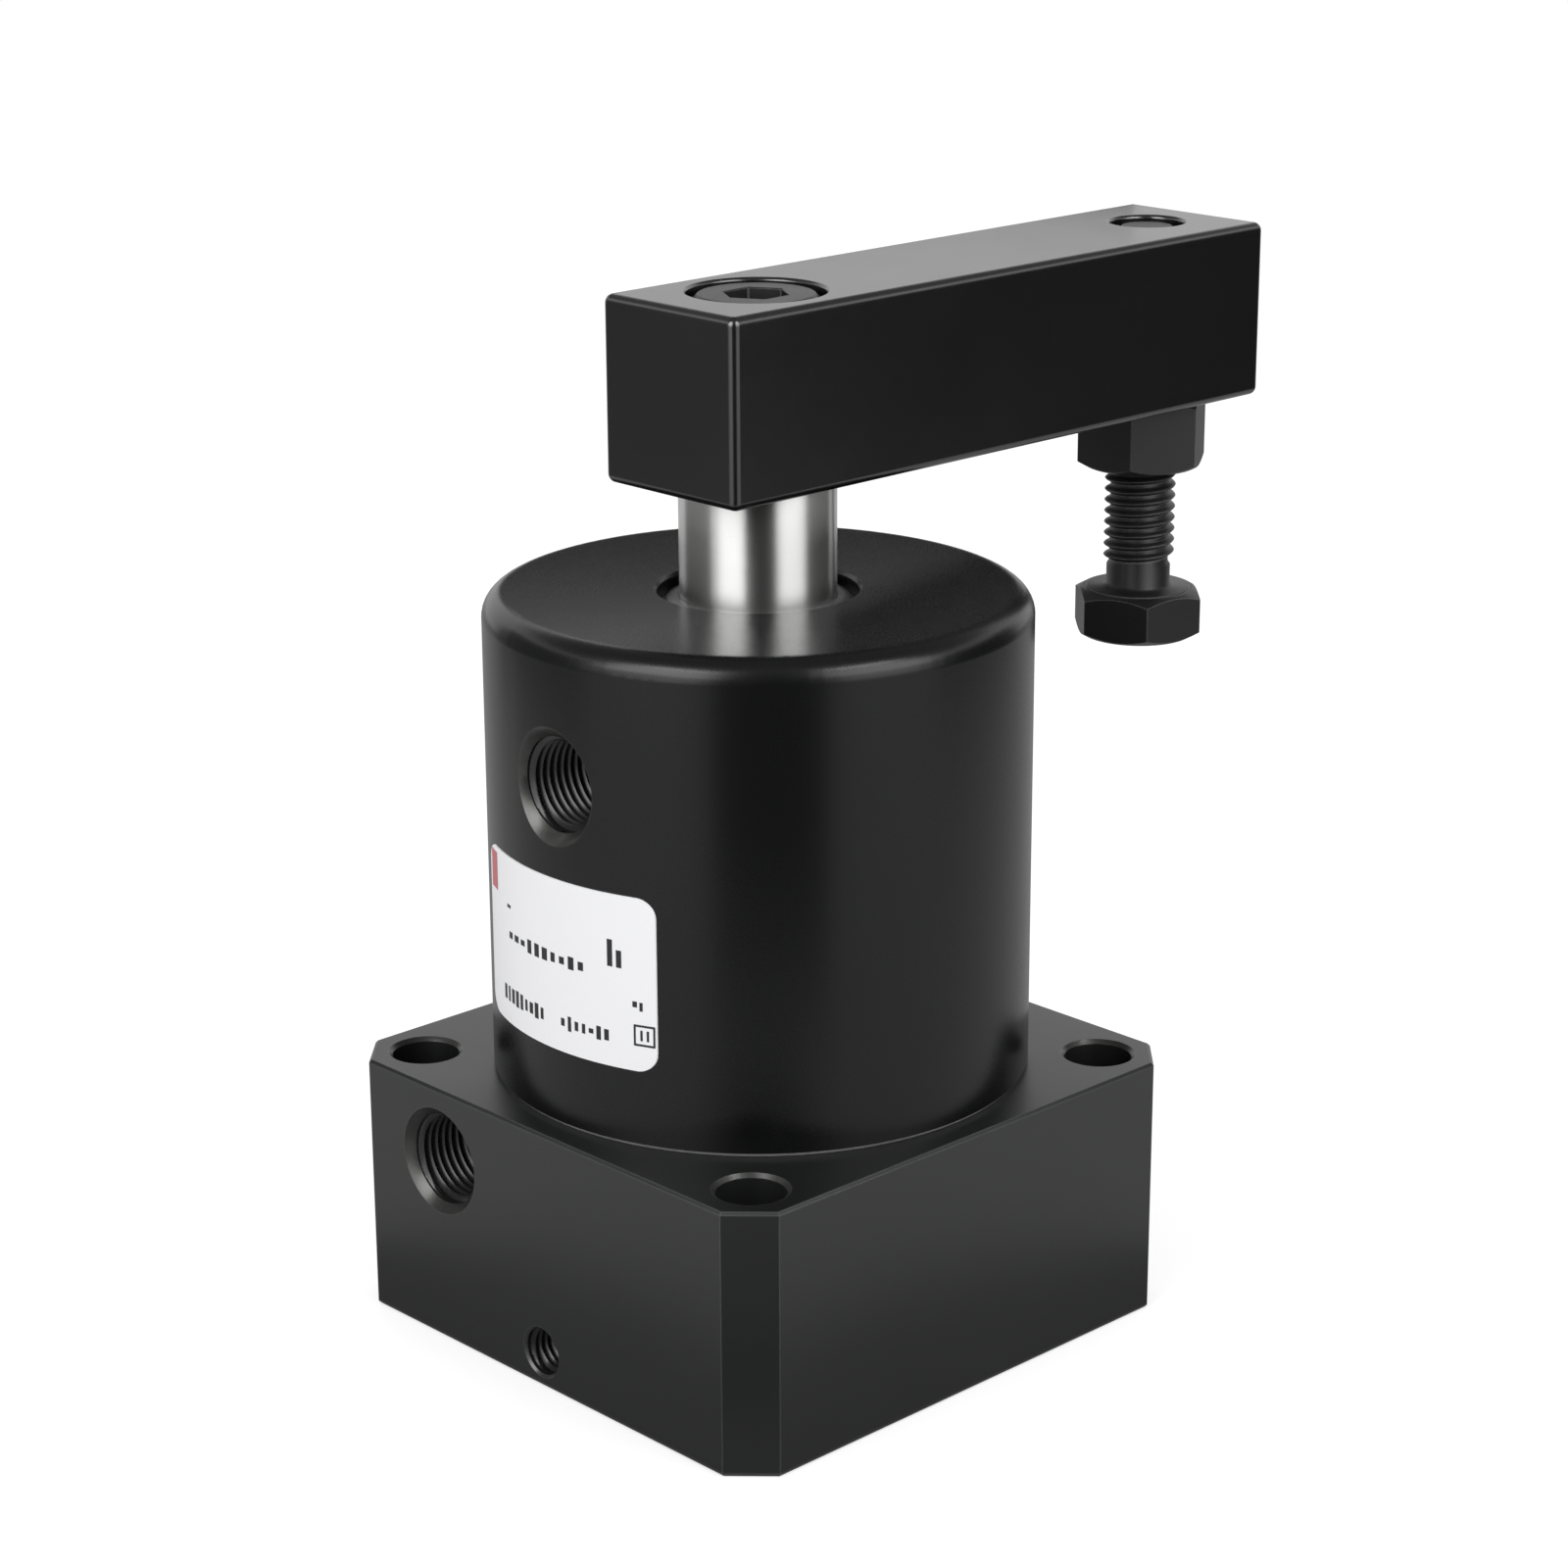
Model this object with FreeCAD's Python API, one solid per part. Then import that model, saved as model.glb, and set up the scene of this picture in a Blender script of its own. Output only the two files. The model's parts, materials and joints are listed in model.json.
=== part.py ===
"""Rotary clamp cylinder: square foot, round barrel, swinging rod, clamp arm and clamp bolt.

Millimetres. The origin is the centre of the foot's underside, on the rod's axis. +Z runs up
the rod, the arm lies along +X in the clamped position, and both air ports face -X.
"""
import FreeCAD, Part
import math
import os

Vector = FreeCAD.Vector
ORIGIN = Vector(0, 0, 0)
ALONG = Vector(1, 0, 0)
UP = Vector(0, 0, 1)
FULL_TURN = 360.0

# Foot
BASE_WIDTH = 62.0
BASE_HEIGHT = 28.0
BASE_CORNER_CHAMFER = 4.0
BASE_EDGE_CHAMFER = 0.3
MOUNT_HOLE_DIAMETER = 7.0
MOUNT_HOLE_INSET = 6.0
MOUNT_HOLE_MOUTH = 0.4
BASE_BORE_LEAD_IN = 0.5

# Barrel and its head
BORE_DIAMETER = 40.0
SPIGOT_WALL = 3.0
BARREL_DIAMETER = 56.0
BARREL_TOP_ROUND = 2.5
BARREL_FOOT_CHAMFER = 0.4
HEAD_LENGTH = 23.9
HEAD_MOUTH_CHAMFER = 0.3
HEAD_LAND = 1.0
HEAD_LAND_CLEARANCE = 0.5

# Air ports, pipe thread of one eighth inch
PORT_THREAD_DIAMETER = 9.73
DRILL_POINT_ANGLE = 118.0
BASE_PORT_MOUTH = 11.5
BASE_PORT_BELOW_TOP = 8.0
BASE_PORT_FLOOR_WALL = 1.75
BASE_PORT_SIDE_WALL = 0.9
BARREL_PORT_MOUTH = 12.1
BARREL_PORT_DEPTH = 10.0
BARREL_PORT_BELOW_TOP = 15.0
AIR_PASSAGE_DIAMETER = 3.0
AIR_PASSAGE_EDGE = 0.3
AIR_GAP = 2.0

# Strokes: the straight clamp stroke, then the stroke that swings the arm
CLAMP_STROKE = 12.0
SWING_STROKE = 13.0
SWING_ANGLE = 90.0
STOP_GAP = 0.1

# End cap that closes the foot
CAP_RECESS = 0.3
CAP_HEIGHT = 9.7
CAP_CHAMFER = 0.5
SPANNER_HOLE_DIAMETER = 4.0
SPANNER_HOLE_DEPTH = 4.0
SPANNER_HOLE_RADIUS = 14.0
LOCK_SCREW_DIAMETER = 5.0
LOCK_SCREW_LENGTH = 4.0
LOCK_SCREW_HEIGHT = 3.8
LOCK_SCREW_SOCKET = 2.5
LOCK_SCREW_MOUTH = 0.25

# Rubber: rings of round section, lip seals and bumpers
RING_GROOVE_DEPTH = 1.5
RING_GROOVE_WIDTH = 2.2
RUBBER_CLEARANCE = 0.03
BARREL_SEAL_BELOW_TOP = 4.0
CAP_SEAL_BELOW_TOP = 2.4
CAP_BUMPER_THICKNESS = 2.4
HEAD_BUMPER_THICKNESS = 1.5
BUMPER_SEAT = 0.5
BUMPER_WIDTH = 4.0
BUMPER_INNER_GAP = 1.0
ROD_SEAL_HEIGHT = 4.0
ROD_SEAL_SECTION = 4.0
SEAL_LIP = 0.8
WIPER_DEPTH = 4.0
WIPER_SECTION = 2.25
WIPER_SINK = 1.8
WIPER_CROWN_SET_BACK = 0.9
WIPER_CROWN_HEIGHT = 0.8
WIPER_LIP_SINK = 0.7

# Piston and what it carries
PISTON_LENGTH = 15.5
PISTON_CLEARANCE = 0.2
PISTON_CHAMFER = 0.6
PISTON_LAND = 1.3
WEAR_RING_WIDTH = 4.0
WEAR_RING_THICKNESS = 1.6
WEAR_RING_SPLIT = 0.8
PISTON_SEAL_WIDTH = 3.4
PISTON_SEAL_DEPTH = 3.2
PISTON_RECESS_DIAMETER = 22.0
PISTON_RECESS_DEPTH = 2.6
ROD_SEAL_GROOVE_DEPTH = 1.2
ROD_SEAL_GROOVE_WIDTH = 1.8

# Piston rod
ROD_DIAMETER = 16.0
ROD_EXPOSED = 11.2
ROD_SHOULDER = 1.0
ROD_CHAMFER = 0.5
ROD_END_SINK = 0.3
ROD_BORE_CLEARANCE = 0.15
CONE_HEIGHT = 5.0
CONE_TAPER = 0.8
RETAINING_RING_THICKNESS = 1.0
RETAINING_RING_GROOVE = 0.6
RETAINING_RING_WIDTH = 2.2
RETAINING_RING_GAP = 60.0
RETAINING_RING_EYE = 1.2

# Guide shaft with the two tracks that turn the rod, and the rod's guide pins
GUIDE_SHAFT_DIAMETER = 10.0
GUIDE_SHAFT_SEAT = 3.0
GUIDE_SHAFT_OVERRUN = 6.0
TRACK_DIAMETER = 3.6
GUIDE_PIN_DIAMETER = 3.4
GUIDE_PIN_ABOVE_PISTON_FOOT = 6.5
GUIDE_PIN_SET_BACK = 0.12
GUIDE_SCREW_DIAMETER = 4.0
GUIDE_SCREW_LENGTH = 12.0
GUIDE_SCREW_HEAD_DIAMETER = 7.0
GUIDE_SCREW_HEAD_HEIGHT = 4.0
GUIDE_SCREW_SOCKET = 3.0
GUIDE_SCREW_SINK = 0.4
DOWEL_DIAMETER = 2.0
DOWEL_LENGTH = 3.5
DOWEL_WALL = 0.5

# Guide bush in the head
BUSH_WALL = 2.0
BUSH_RECESS = 0.5
BUSH_CHAMFER = 0.4

# Clamp arm
ARM_WIDTH = 19.0
ARM_HEIGHT = 19.0
ARM_TAIL = 12.0
ARM_REACH = 58.5
ARM_NOSE = 8.5
ARM_ROUND = 0.9
COUNTERBORE_DEPTH = 8.3
COUNTERBORE_CLEARANCE = 1.0
ARM_HOLE_MOUTH = 0.25

# Fasteners of the arm, metric thread of eight millimetres
SCREW_DIAMETER = 8.0
SCREW_HOLE_CLEARANCE = 0.25
SCREW_HEAD_DIAMETER = 13.0
SCREW_HEAD_HEIGHT = 8.0
SCREW_LENGTH = 20.0
SCREW_SOCKET = 6.0
SCREW_HOLE_OVERRUN = 2.0
SCREW_EDGE_SHARE = 0.05
SCREW_TIP_SHARE = 0.125
HEX_ACROSS_FLATS = 13.0
HEX_FACE_SHARE = 0.95
HEX_CHAMFER_ANGLE = 30.0
NUT_HEIGHT = 8.0
NUT_TURN = 32.0
BOLT_THREAD_RELIEF = 0.05
BOLT_HEAD_HEIGHT = 5.3
BOLT_HEAD_TURN = 49.5
BOLT_LENGTH = 40.5
BOLT_DROP = 22.0
BOLT_SHANK_DIAMETER = 7.1
BOLT_SHANK_LENGTH = 2.6

# Label on the barrel
LABEL_MIDDLE_ANGLE = 178.5
LABEL_HALF_ANGLE = 27.0
LABEL_HEIGHT = 18.0
LABEL_ABOVE_BASE = 8.2
LABEL_CORNER = 2.0
LABEL_THICKNESS = 0.15
LABEL_GLUE = 0.02

# Fits, all on the radius, and the reach of a cut past its wall
RUNNING_FIT = 0.04
STATIC_FIT = 0.05
FACE_GAP = 0.05
CUT_PAST = 1.0
TOUCH = 0.001

# Radii worked out from the sizes above
BORE_R = BORE_DIAMETER / 2
SPIGOT_R = BORE_R + SPIGOT_WALL
BASE_BORE_R = SPIGOT_R + STATIC_FIT
CAP_R = BASE_BORE_R - STATIC_FIT
BARREL_R = BARREL_DIAMETER / 2
ROD_R = ROD_DIAMETER / 2
ROD_END_R = ROD_R - ROD_SHOULDER
PISTON_R = BORE_R - PISTON_CLEARANCE
PISTON_BORE_R = ROD_END_R + RUNNING_FIT
GUIDE_SHAFT_R = GUIDE_SHAFT_DIAMETER / 2
ROD_BORE_R = GUIDE_SHAFT_R + ROD_BORE_CLEARANCE
BUSH_BORE_R = ROD_R + RUNNING_FIT
BUSH_R = BUSH_BORE_R + BUSH_WALL
SEAL_GROOVE_R = ROD_R + ROD_SEAL_SECTION
WIPER_R = ROD_R + WIPER_SECTION
PORT_R = PORT_THREAD_DIAMETER / 2
SCREW_R = SCREW_DIAMETER / 2
SCREW_THREAD_HOLE_R = SCREW_R + STATIC_FIT
LOCK_SCREW_R = LOCK_SCREW_DIAMETER / 2
GUIDE_SCREW_R = GUIDE_SCREW_DIAMETER / 2

# Heights worked out from the foot upwards
CAP_TOP = CAP_RECESS + CAP_HEIGHT
SPIGOT_BOTTOM = CAP_TOP + AIR_GAP
PISTON_BOTTOM = CAP_TOP + CAP_BUMPER_THICKNESS + STOP_GAP
PISTON_TOP = PISTON_BOTTOM + PISTON_LENGTH
FULL_STROKE = CLAMP_STROKE + SWING_STROKE
HEAD_FACE = PISTON_TOP + FULL_STROKE + STOP_GAP + HEAD_BUMPER_THICKNESS
BARREL_TOP = HEAD_FACE + HEAD_LENGTH
WIPER_SEAT = BARREL_TOP - WIPER_DEPTH
SEAL_TOP = WIPER_SEAT - HEAD_LAND
SEAL_BOTTOM = SEAL_TOP - ROD_SEAL_HEIGHT
BUSH_TOP = SEAL_BOTTOM - HEAD_LAND
ROD_BOTTOM = PISTON_BOTTOM + ROD_END_SINK
PIN_HEIGHT = PISTON_BOTTOM + GUIDE_PIN_ABOVE_PISTON_FOOT
GUIDE_SHAFT_BOTTOM = CAP_TOP - GUIDE_SHAFT_SEAT
GUIDE_SHAFT_TOP = PIN_HEIGHT + FULL_STROKE + GUIDE_SHAFT_OVERRUN
ROD_BORE_TOP = GUIDE_SHAFT_TOP + SCREW_HOLE_OVERRUN
ARM_BOTTOM = BARREL_TOP + ROD_EXPOSED
ARM_TOP = ARM_BOTTOM + ARM_HEIGHT
CONE_TOP = ARM_BOTTOM + CONE_HEIGHT
SCREW_SEAT = ARM_TOP - COUNTERBORE_DEPTH
BASE_PORT_HEIGHT = BASE_HEIGHT - BASE_PORT_BELOW_TOP
BARREL_PORT_HEIGHT = BARREL_TOP - BARREL_PORT_BELOW_TOP

# Places across the foot
MOUNT_HOLE_PLACE = BASE_WIDTH / 2 - MOUNT_HOLE_INSET
BASE_PORT_SIDE = MOUNT_HOLE_PLACE - MOUNT_HOLE_DIAMETER / 2 - BASE_PORT_SIDE_WALL - PORT_R


def turned(profile, axis=UP):
    """Solid of revolution; the profile lists (radius, place along the axis)."""
    across = Vector(0, 0, 1) if axis == ALONG else ALONG
    points = [across * radius + axis * place for radius, place in profile]
    face = Part.Face(Part.makePolygon(points + points[:1]))
    return face.revolve(ORIGIN, axis, FULL_TURN)


def ring(inner, outer, low, high):
    """Plain ring round the rod's axis."""
    return turned([(inner, low), (outer, low), (outer, high), (inner, high)])


def rod_between(start, end, radius):
    """Round bar from one point to another."""
    way = end - start
    return Part.makeCylinder(radius, way.Length, start, way)


def edges_at(shape, height):
    """Edges that lie flat at one height."""
    level = []
    for edge in shape.Edges:
        box = edge.BoundBox
        if abs(box.ZMin - height) < TOUCH and abs(box.ZMax - height) < TOUCH:
            level.append(edge)
    return level


def hexagon(across_flats, low, high, turn=0.0):
    """Hexagonal prism with one corner at the given turn from +X."""
    corner = across_flats / math.sqrt(3)
    points = []
    for step in range(7):
        angle = math.radians(turn + step * FULL_TURN / 6)
        points.append(Vector(corner * math.cos(angle), corner * math.sin(angle), low))
    return Part.Face(Part.makePolygon(points)).extrude(UP * (high - low))


def chamfered_hexagon(low, high, turn):
    """Hexagonal head or nut whose corners are turned off above and below."""
    face_r = HEX_ACROSS_FLATS / 2 * HEX_FACE_SHARE
    corner_r = HEX_ACROSS_FLATS / math.sqrt(3) + TOUCH
    drop = (corner_r - face_r) * math.tan(math.radians(HEX_CHAMFER_ANGLE))
    blank = turned([(0, low), (face_r, low), (corner_r, low + drop),
                    (corner_r, high - drop), (face_r, high), (0, high)])
    return blank.common(hexagon(HEX_ACROSS_FLATS, low, high, turn))


def port_tool(depth, mouth_diameter):
    """Threaded port with its countersink and drill point, running along +X from the origin."""
    mouth_r = mouth_diameter / 2
    point = PORT_R / math.tan(math.radians(DRILL_POINT_ANGLE / 2))
    return turned([(0, -CUT_PAST), (mouth_r + CUT_PAST, -CUT_PAST), (PORT_R, mouth_r - PORT_R),
                   (PORT_R, depth), (0, depth + point)], ALONG)


def round_ring(floor, wall, height):
    """Rubber ring of round section between a groove's floor and the wall it seals."""
    section = abs(wall - floor) / 2 - RUBBER_CLEARANCE
    return Part.makeTorus((wall + floor) / 2, section, Vector(0, 0, height), UP)


def socket_screw(head_diameter, head_height, diameter, length, socket, seat, head_up=True):
    """Socket head screw on the rod's axis, seated at one height."""
    head_r = head_diameter / 2
    shank_r = diameter / 2
    edge = head_diameter * SCREW_EDGE_SHARE
    tip = diameter * SCREW_TIP_SHARE
    blank = turned([(0, -length), (shank_r - tip, -length), (shank_r, tip - length), (shank_r, 0),
                    (head_r, 0), (head_r, head_height - edge), (head_r - edge, head_height),
                    (0, head_height)])
    screw = blank.cut(hexagon(socket, head_height / 2, head_height + CUT_PAST))
    if not head_up:
        screw.rotate(ORIGIN, ALONG, FULL_TURN / 2)
    screw.translate(UP * seat)
    return screw


def base_block():
    """Square foot with clipped corners, bored for the barrel and the end cap."""
    half = BASE_WIDTH / 2
    corner = half - BASE_CORNER_CHAMFER
    outline = [(half, corner), (corner, half), (-corner, half), (-half, corner),
               (-half, -corner), (-corner, -half), (corner, -half), (half, -corner)]
    points = [Vector(x, y, 0) for x, y in outline + outline[:1]]
    block = Part.Face(Part.makePolygon(points)).extrude(UP * BASE_HEIGHT)
    block = block.makeChamfer(BASE_EDGE_CHAMFER, edges_at(block, 0) + edges_at(block, BASE_HEIGHT))
    lead_r = BASE_BORE_R + BASE_BORE_LEAD_IN
    block = block.cut(turned([(0, -CUT_PAST), (lead_r + CUT_PAST, -CUT_PAST),
                              (BASE_BORE_R, BASE_BORE_LEAD_IN),
                              (BASE_BORE_R, BASE_HEIGHT + CUT_PAST), (0, BASE_HEIGHT + CUT_PAST)]))
    for x in (-MOUNT_HOLE_PLACE, MOUNT_HOLE_PLACE):
        for y in (-MOUNT_HOLE_PLACE, MOUNT_HOLE_PLACE):
            block = block.cut(mount_hole_tool(x, y))
    port = port_tool(base_port_depth(), BASE_PORT_MOUTH)
    port.translate(Vector(-half, BASE_PORT_SIDE, BASE_PORT_HEIGHT))
    block = block.cut(port).cut(base_air_passage())
    mouth_r = LOCK_SCREW_R + LOCK_SCREW_MOUTH
    lock_hole = turned([(0, -CUT_PAST), (mouth_r + CUT_PAST, -CUT_PAST), (LOCK_SCREW_R, LOCK_SCREW_MOUTH),
                        (LOCK_SCREW_R, half - CAP_R + CUT_PAST), (0, half - CAP_R + CUT_PAST)], ALONG)
    lock_hole.translate(Vector(-half, 0, LOCK_SCREW_HEIGHT))
    return block.cut(lock_hole)


def mount_hole_tool(x, y):
    """Through hole for a mounting screw, with its mouth broken at the top."""
    hole_r = MOUNT_HOLE_DIAMETER / 2
    tool = turned([(0, -CUT_PAST), (hole_r, -CUT_PAST), (hole_r, BASE_HEIGHT - MOUNT_HOLE_MOUTH),
                   (hole_r + MOUNT_HOLE_MOUTH + CUT_PAST, BASE_HEIGHT + CUT_PAST),
                   (0, BASE_HEIGHT + CUT_PAST)])
    tool.translate(Vector(x, y, 0))
    return tool


def base_port_depth():
    """Depth of the foot's port, which stops short of the bore behind it."""
    near_side = BASE_PORT_SIDE - PORT_R
    bore_reach = math.sqrt(BASE_BORE_R ** 2 - near_side ** 2)
    return BASE_WIDTH / 2 - bore_reach - BASE_PORT_FLOOR_WALL


def base_air_passage():
    """Slanting drilling from the port's floor to the air space under the piston."""
    start = Vector(base_port_depth() - BASE_WIDTH / 2, BASE_PORT_SIDE, BASE_PORT_HEIGHT)
    wall_x = -math.sqrt(BASE_BORE_R ** 2 - BASE_PORT_SIDE ** 2)
    wall = Vector(wall_x, BASE_PORT_SIDE, CAP_TOP + AIR_GAP / 2)
    way = (wall - start).normalize()
    return rod_between(start - way * CUT_PAST, wall + way * CUT_PAST, AIR_PASSAGE_DIAMETER / 2)


def barrel():
    """Round barrel and head in one piece, with a spigot that enters the foot."""
    land_r = ROD_R + HEAD_LAND_CLEARANCE
    foot_r = BARREL_R - BARREL_FOOT_CHAMFER
    mouth_r = WIPER_R + HEAD_MOUTH_CHAMFER
    body = turned([(BORE_R + CAP_CHAMFER, SPIGOT_BOTTOM), (SPIGOT_R - CAP_CHAMFER, SPIGOT_BOTTOM),
                   (SPIGOT_R, SPIGOT_BOTTOM + CAP_CHAMFER), (SPIGOT_R, BASE_HEIGHT),
                   (foot_r, BASE_HEIGHT), (BARREL_R, BASE_HEIGHT + BARREL_FOOT_CHAMFER),
                   (BARREL_R, BARREL_TOP), (mouth_r, BARREL_TOP),
                   (WIPER_R, BARREL_TOP - HEAD_MOUTH_CHAMFER), (WIPER_R, WIPER_SEAT),
                   (land_r, WIPER_SEAT), (land_r, SEAL_TOP), (SEAL_GROOVE_R, SEAL_TOP),
                   (SEAL_GROOVE_R, SEAL_BOTTOM), (land_r, SEAL_BOTTOM), (land_r, BUSH_TOP),
                   (BUSH_R, BUSH_TOP), (BUSH_R, HEAD_FACE), (BORE_R, HEAD_FACE),
                   (BORE_R, SPIGOT_BOTTOM + CAP_CHAMFER)])
    rim = [edge for edge in edges_at(body, BARREL_TOP) if edge.BoundBox.XMax > BARREL_R - TOUCH]
    body = body.makeFillet(BARREL_TOP_ROUND, rim)
    groove = BASE_HEIGHT - BARREL_SEAL_BELOW_TOP
    body = body.cut(ring(SPIGOT_R - RING_GROOVE_DEPTH, SPIGOT_R + CUT_PAST,
                         groove - RING_GROOVE_WIDTH / 2, groove + RING_GROOVE_WIDTH / 2))
    inner, outer = head_bumper_radii()
    body = body.cut(ring(inner - STATIC_FIT, outer + STATIC_FIT, HEAD_FACE - CUT_PAST,
                         HEAD_FACE + BUMPER_SEAT))
    port = port_tool(BARREL_PORT_DEPTH, BARREL_PORT_MOUTH)
    port.translate(Vector(-BARREL_R, 0, BARREL_PORT_HEIGHT))
    drill_r = AIR_PASSAGE_DIAMETER / 2
    foot = Vector(drill_r + AIR_PASSAGE_EDGE - BORE_R, 0, HEAD_FACE - CUT_PAST)
    air_hole = rod_between(foot, Vector(foot.x, 0, BARREL_PORT_HEIGHT), drill_r)
    return body.cut(port).cut(air_hole)


def end_cap():
    """Cap that closes the foot from below, with a seat for the guide shaft."""
    cap = turned([(0, CAP_RECESS), (CAP_R - CAP_CHAMFER, CAP_RECESS), (CAP_R, CAP_RECESS + CAP_CHAMFER),
                  (CAP_R, CAP_TOP - CAP_CHAMFER), (CAP_R - CAP_CHAMFER, CAP_TOP), (0, CAP_TOP)])
    groove = CAP_TOP - CAP_SEAL_BELOW_TOP
    inner, outer = cap_bumper_radii()
    cuts = [ring(CAP_R - RING_GROOVE_DEPTH, CAP_R + CUT_PAST,
                 groove - RING_GROOVE_WIDTH / 2, groove + RING_GROOVE_WIDTH / 2),
            ring(inner - STATIC_FIT, outer + STATIC_FIT, CAP_TOP - BUMPER_SEAT, CAP_TOP + CUT_PAST),
            Part.makeCylinder(GUIDE_SHAFT_R + STATIC_FIT, GUIDE_SHAFT_SEAT + CUT_PAST,
                              Vector(0, 0, GUIDE_SHAFT_BOTTOM)),
            Part.makeCylinder(GUIDE_SCREW_HEAD_DIAMETER / 2 + SCREW_HOLE_CLEARANCE,
                              guide_screw_seat() - CAP_RECESS + CUT_PAST,
                              Vector(0, 0, CAP_RECESS - CUT_PAST)),
            Part.makeCylinder(GUIDE_SCREW_R + STATIC_FIT, CAP_HEIGHT, Vector(0, 0, CAP_RECESS)),
            dowel(STATIC_FIT)]
    for side in (-1, 1):
        place = Vector(side * SPANNER_HOLE_RADIUS, 0, CAP_RECESS - CUT_PAST)
        cuts.append(Part.makeCylinder(SPANNER_HOLE_DIAMETER / 2, SPANNER_HOLE_DEPTH + CUT_PAST, place))
    for cut in cuts:
        cap = cap.cut(cut)
    return cap


def end_cap_seal():
    """Ring between the end cap and the foot."""
    return round_ring(CAP_R - RING_GROOVE_DEPTH, BASE_BORE_R, CAP_TOP - CAP_SEAL_BELOW_TOP)


def barrel_seal():
    """Ring between the barrel's spigot and the foot."""
    return round_ring(SPIGOT_R - RING_GROOVE_DEPTH, BASE_BORE_R, BASE_HEIGHT - BARREL_SEAL_BELOW_TOP)


def cap_lock_screw():
    """Grub screw that pins the end cap in the foot."""
    tip = LOCK_SCREW_DIAMETER * SCREW_TIP_SHARE
    radius = LOCK_SCREW_R - STATIC_FIT
    socket = hexagon(LOCK_SCREW_SOCKET, -CUT_PAST, LOCK_SCREW_LENGTH / 2)
    socket.rotate(ORIGIN, Vector(0, 1, 0), FULL_TURN / 4)
    screw = turned([(0, 0), (radius - tip, 0), (radius, tip), (radius, LOCK_SCREW_LENGTH - tip),
                    (radius - tip, LOCK_SCREW_LENGTH), (0, LOCK_SCREW_LENGTH)], ALONG).cut(socket)
    screw.translate(Vector(-CAP_R - FACE_GAP - LOCK_SCREW_LENGTH, 0, LOCK_SCREW_HEIGHT))
    return screw


def cap_bumper_radii():
    """Inner and outer radius of the bumper on the end cap, outside the piston's recess."""
    inner = PISTON_RECESS_DIAMETER / 2 + BUMPER_INNER_GAP
    return inner, inner + BUMPER_WIDTH


def cap_bumper():
    """Rubber stop for the piston at the bottom of its stroke."""
    inner, outer = cap_bumper_radii()
    return ring(inner, outer, CAP_TOP - BUMPER_SEAT, CAP_TOP + CAP_BUMPER_THICKNESS)


def head_bumper_radii():
    """Inner and outer radius of the bumper under the head, outside the guide bush."""
    inner = BUSH_R + BUMPER_INNER_GAP
    return inner, inner + BUMPER_WIDTH


def head_bumper():
    """Rubber stop for the piston at the top of its stroke."""
    inner, outer = head_bumper_radii()
    return ring(inner, outer, HEAD_FACE - HEAD_BUMPER_THICKNESS, HEAD_FACE + BUMPER_SEAT)


def guide_bush():
    """Bronze bush that guides the rod in the head."""
    low = HEAD_FACE + BUSH_RECESS
    outer = BUSH_R - RUBBER_CLEARANCE
    return turned([(BUSH_BORE_R + BUSH_CHAMFER, low), (outer, low), (outer, BUSH_TOP),
                   (BUSH_BORE_R + BUSH_CHAMFER, BUSH_TOP), (BUSH_BORE_R, BUSH_TOP - BUSH_CHAMFER),
                   (BUSH_BORE_R, low + BUSH_CHAMFER)])


def rod_seal():
    """Lip seal round the rod, open towards the pressure below it."""
    inner = ROD_R + RUNNING_FIT
    outer = SEAL_GROOVE_R - RUBBER_CLEARANCE
    low = SEAL_BOTTOM + RUBBER_CLEARANCE
    high = SEAL_TOP - RUBBER_CLEARANCE
    middle = (inner + outer) / 2
    return turned([(inner, low + SEAL_LIP), (inner + SEAL_LIP, low), (middle, (low + high) / 2),
                   (outer - SEAL_LIP, low), (outer, low + SEAL_LIP), (outer, high),
                   (inner + SEAL_LIP, high), (inner, high - SEAL_LIP)])


def rod_wiper():
    """Wiper ring sunk in the head's mouth, its lip standing against the rod."""
    inner = ROD_R + RUNNING_FIT
    outer = WIPER_R - RUBBER_CLEARANCE
    low = WIPER_SEAT + RUBBER_CLEARANCE
    crown = outer - WIPER_CROWN_SET_BACK
    shelf = BARREL_TOP - WIPER_SINK
    lip_top = BARREL_TOP - WIPER_LIP_SINK
    return turned([(inner + SEAL_LIP, low), (outer, low), (outer, shelf), (crown, shelf),
                   (crown, shelf + WIPER_CROWN_HEIGHT), (inner + SEAL_LIP / 2, lip_top),
                   (inner, lip_top), (inner, shelf), (inner + SEAL_LIP, shelf - SEAL_LIP)])


def guide_screw_seat():
    """Height of the seat under the guide shaft screw's head."""
    return CAP_RECESS + GUIDE_SCREW_SINK + GUIDE_SCREW_HEAD_HEIGHT


def dowel(growth=0.0):
    """Pin that keeps the guide shaft from turning; growth makes its hole."""
    radius = DOWEL_DIAMETER / 2
    place = GUIDE_SCREW_R + DOWEL_WALL + radius
    low = GUIDE_SHAFT_BOTTOM - DOWEL_LENGTH / 2 - growth
    return Part.makeCylinder(radius + growth, DOWEL_LENGTH + 2 * growth, Vector(0, place, low))


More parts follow.
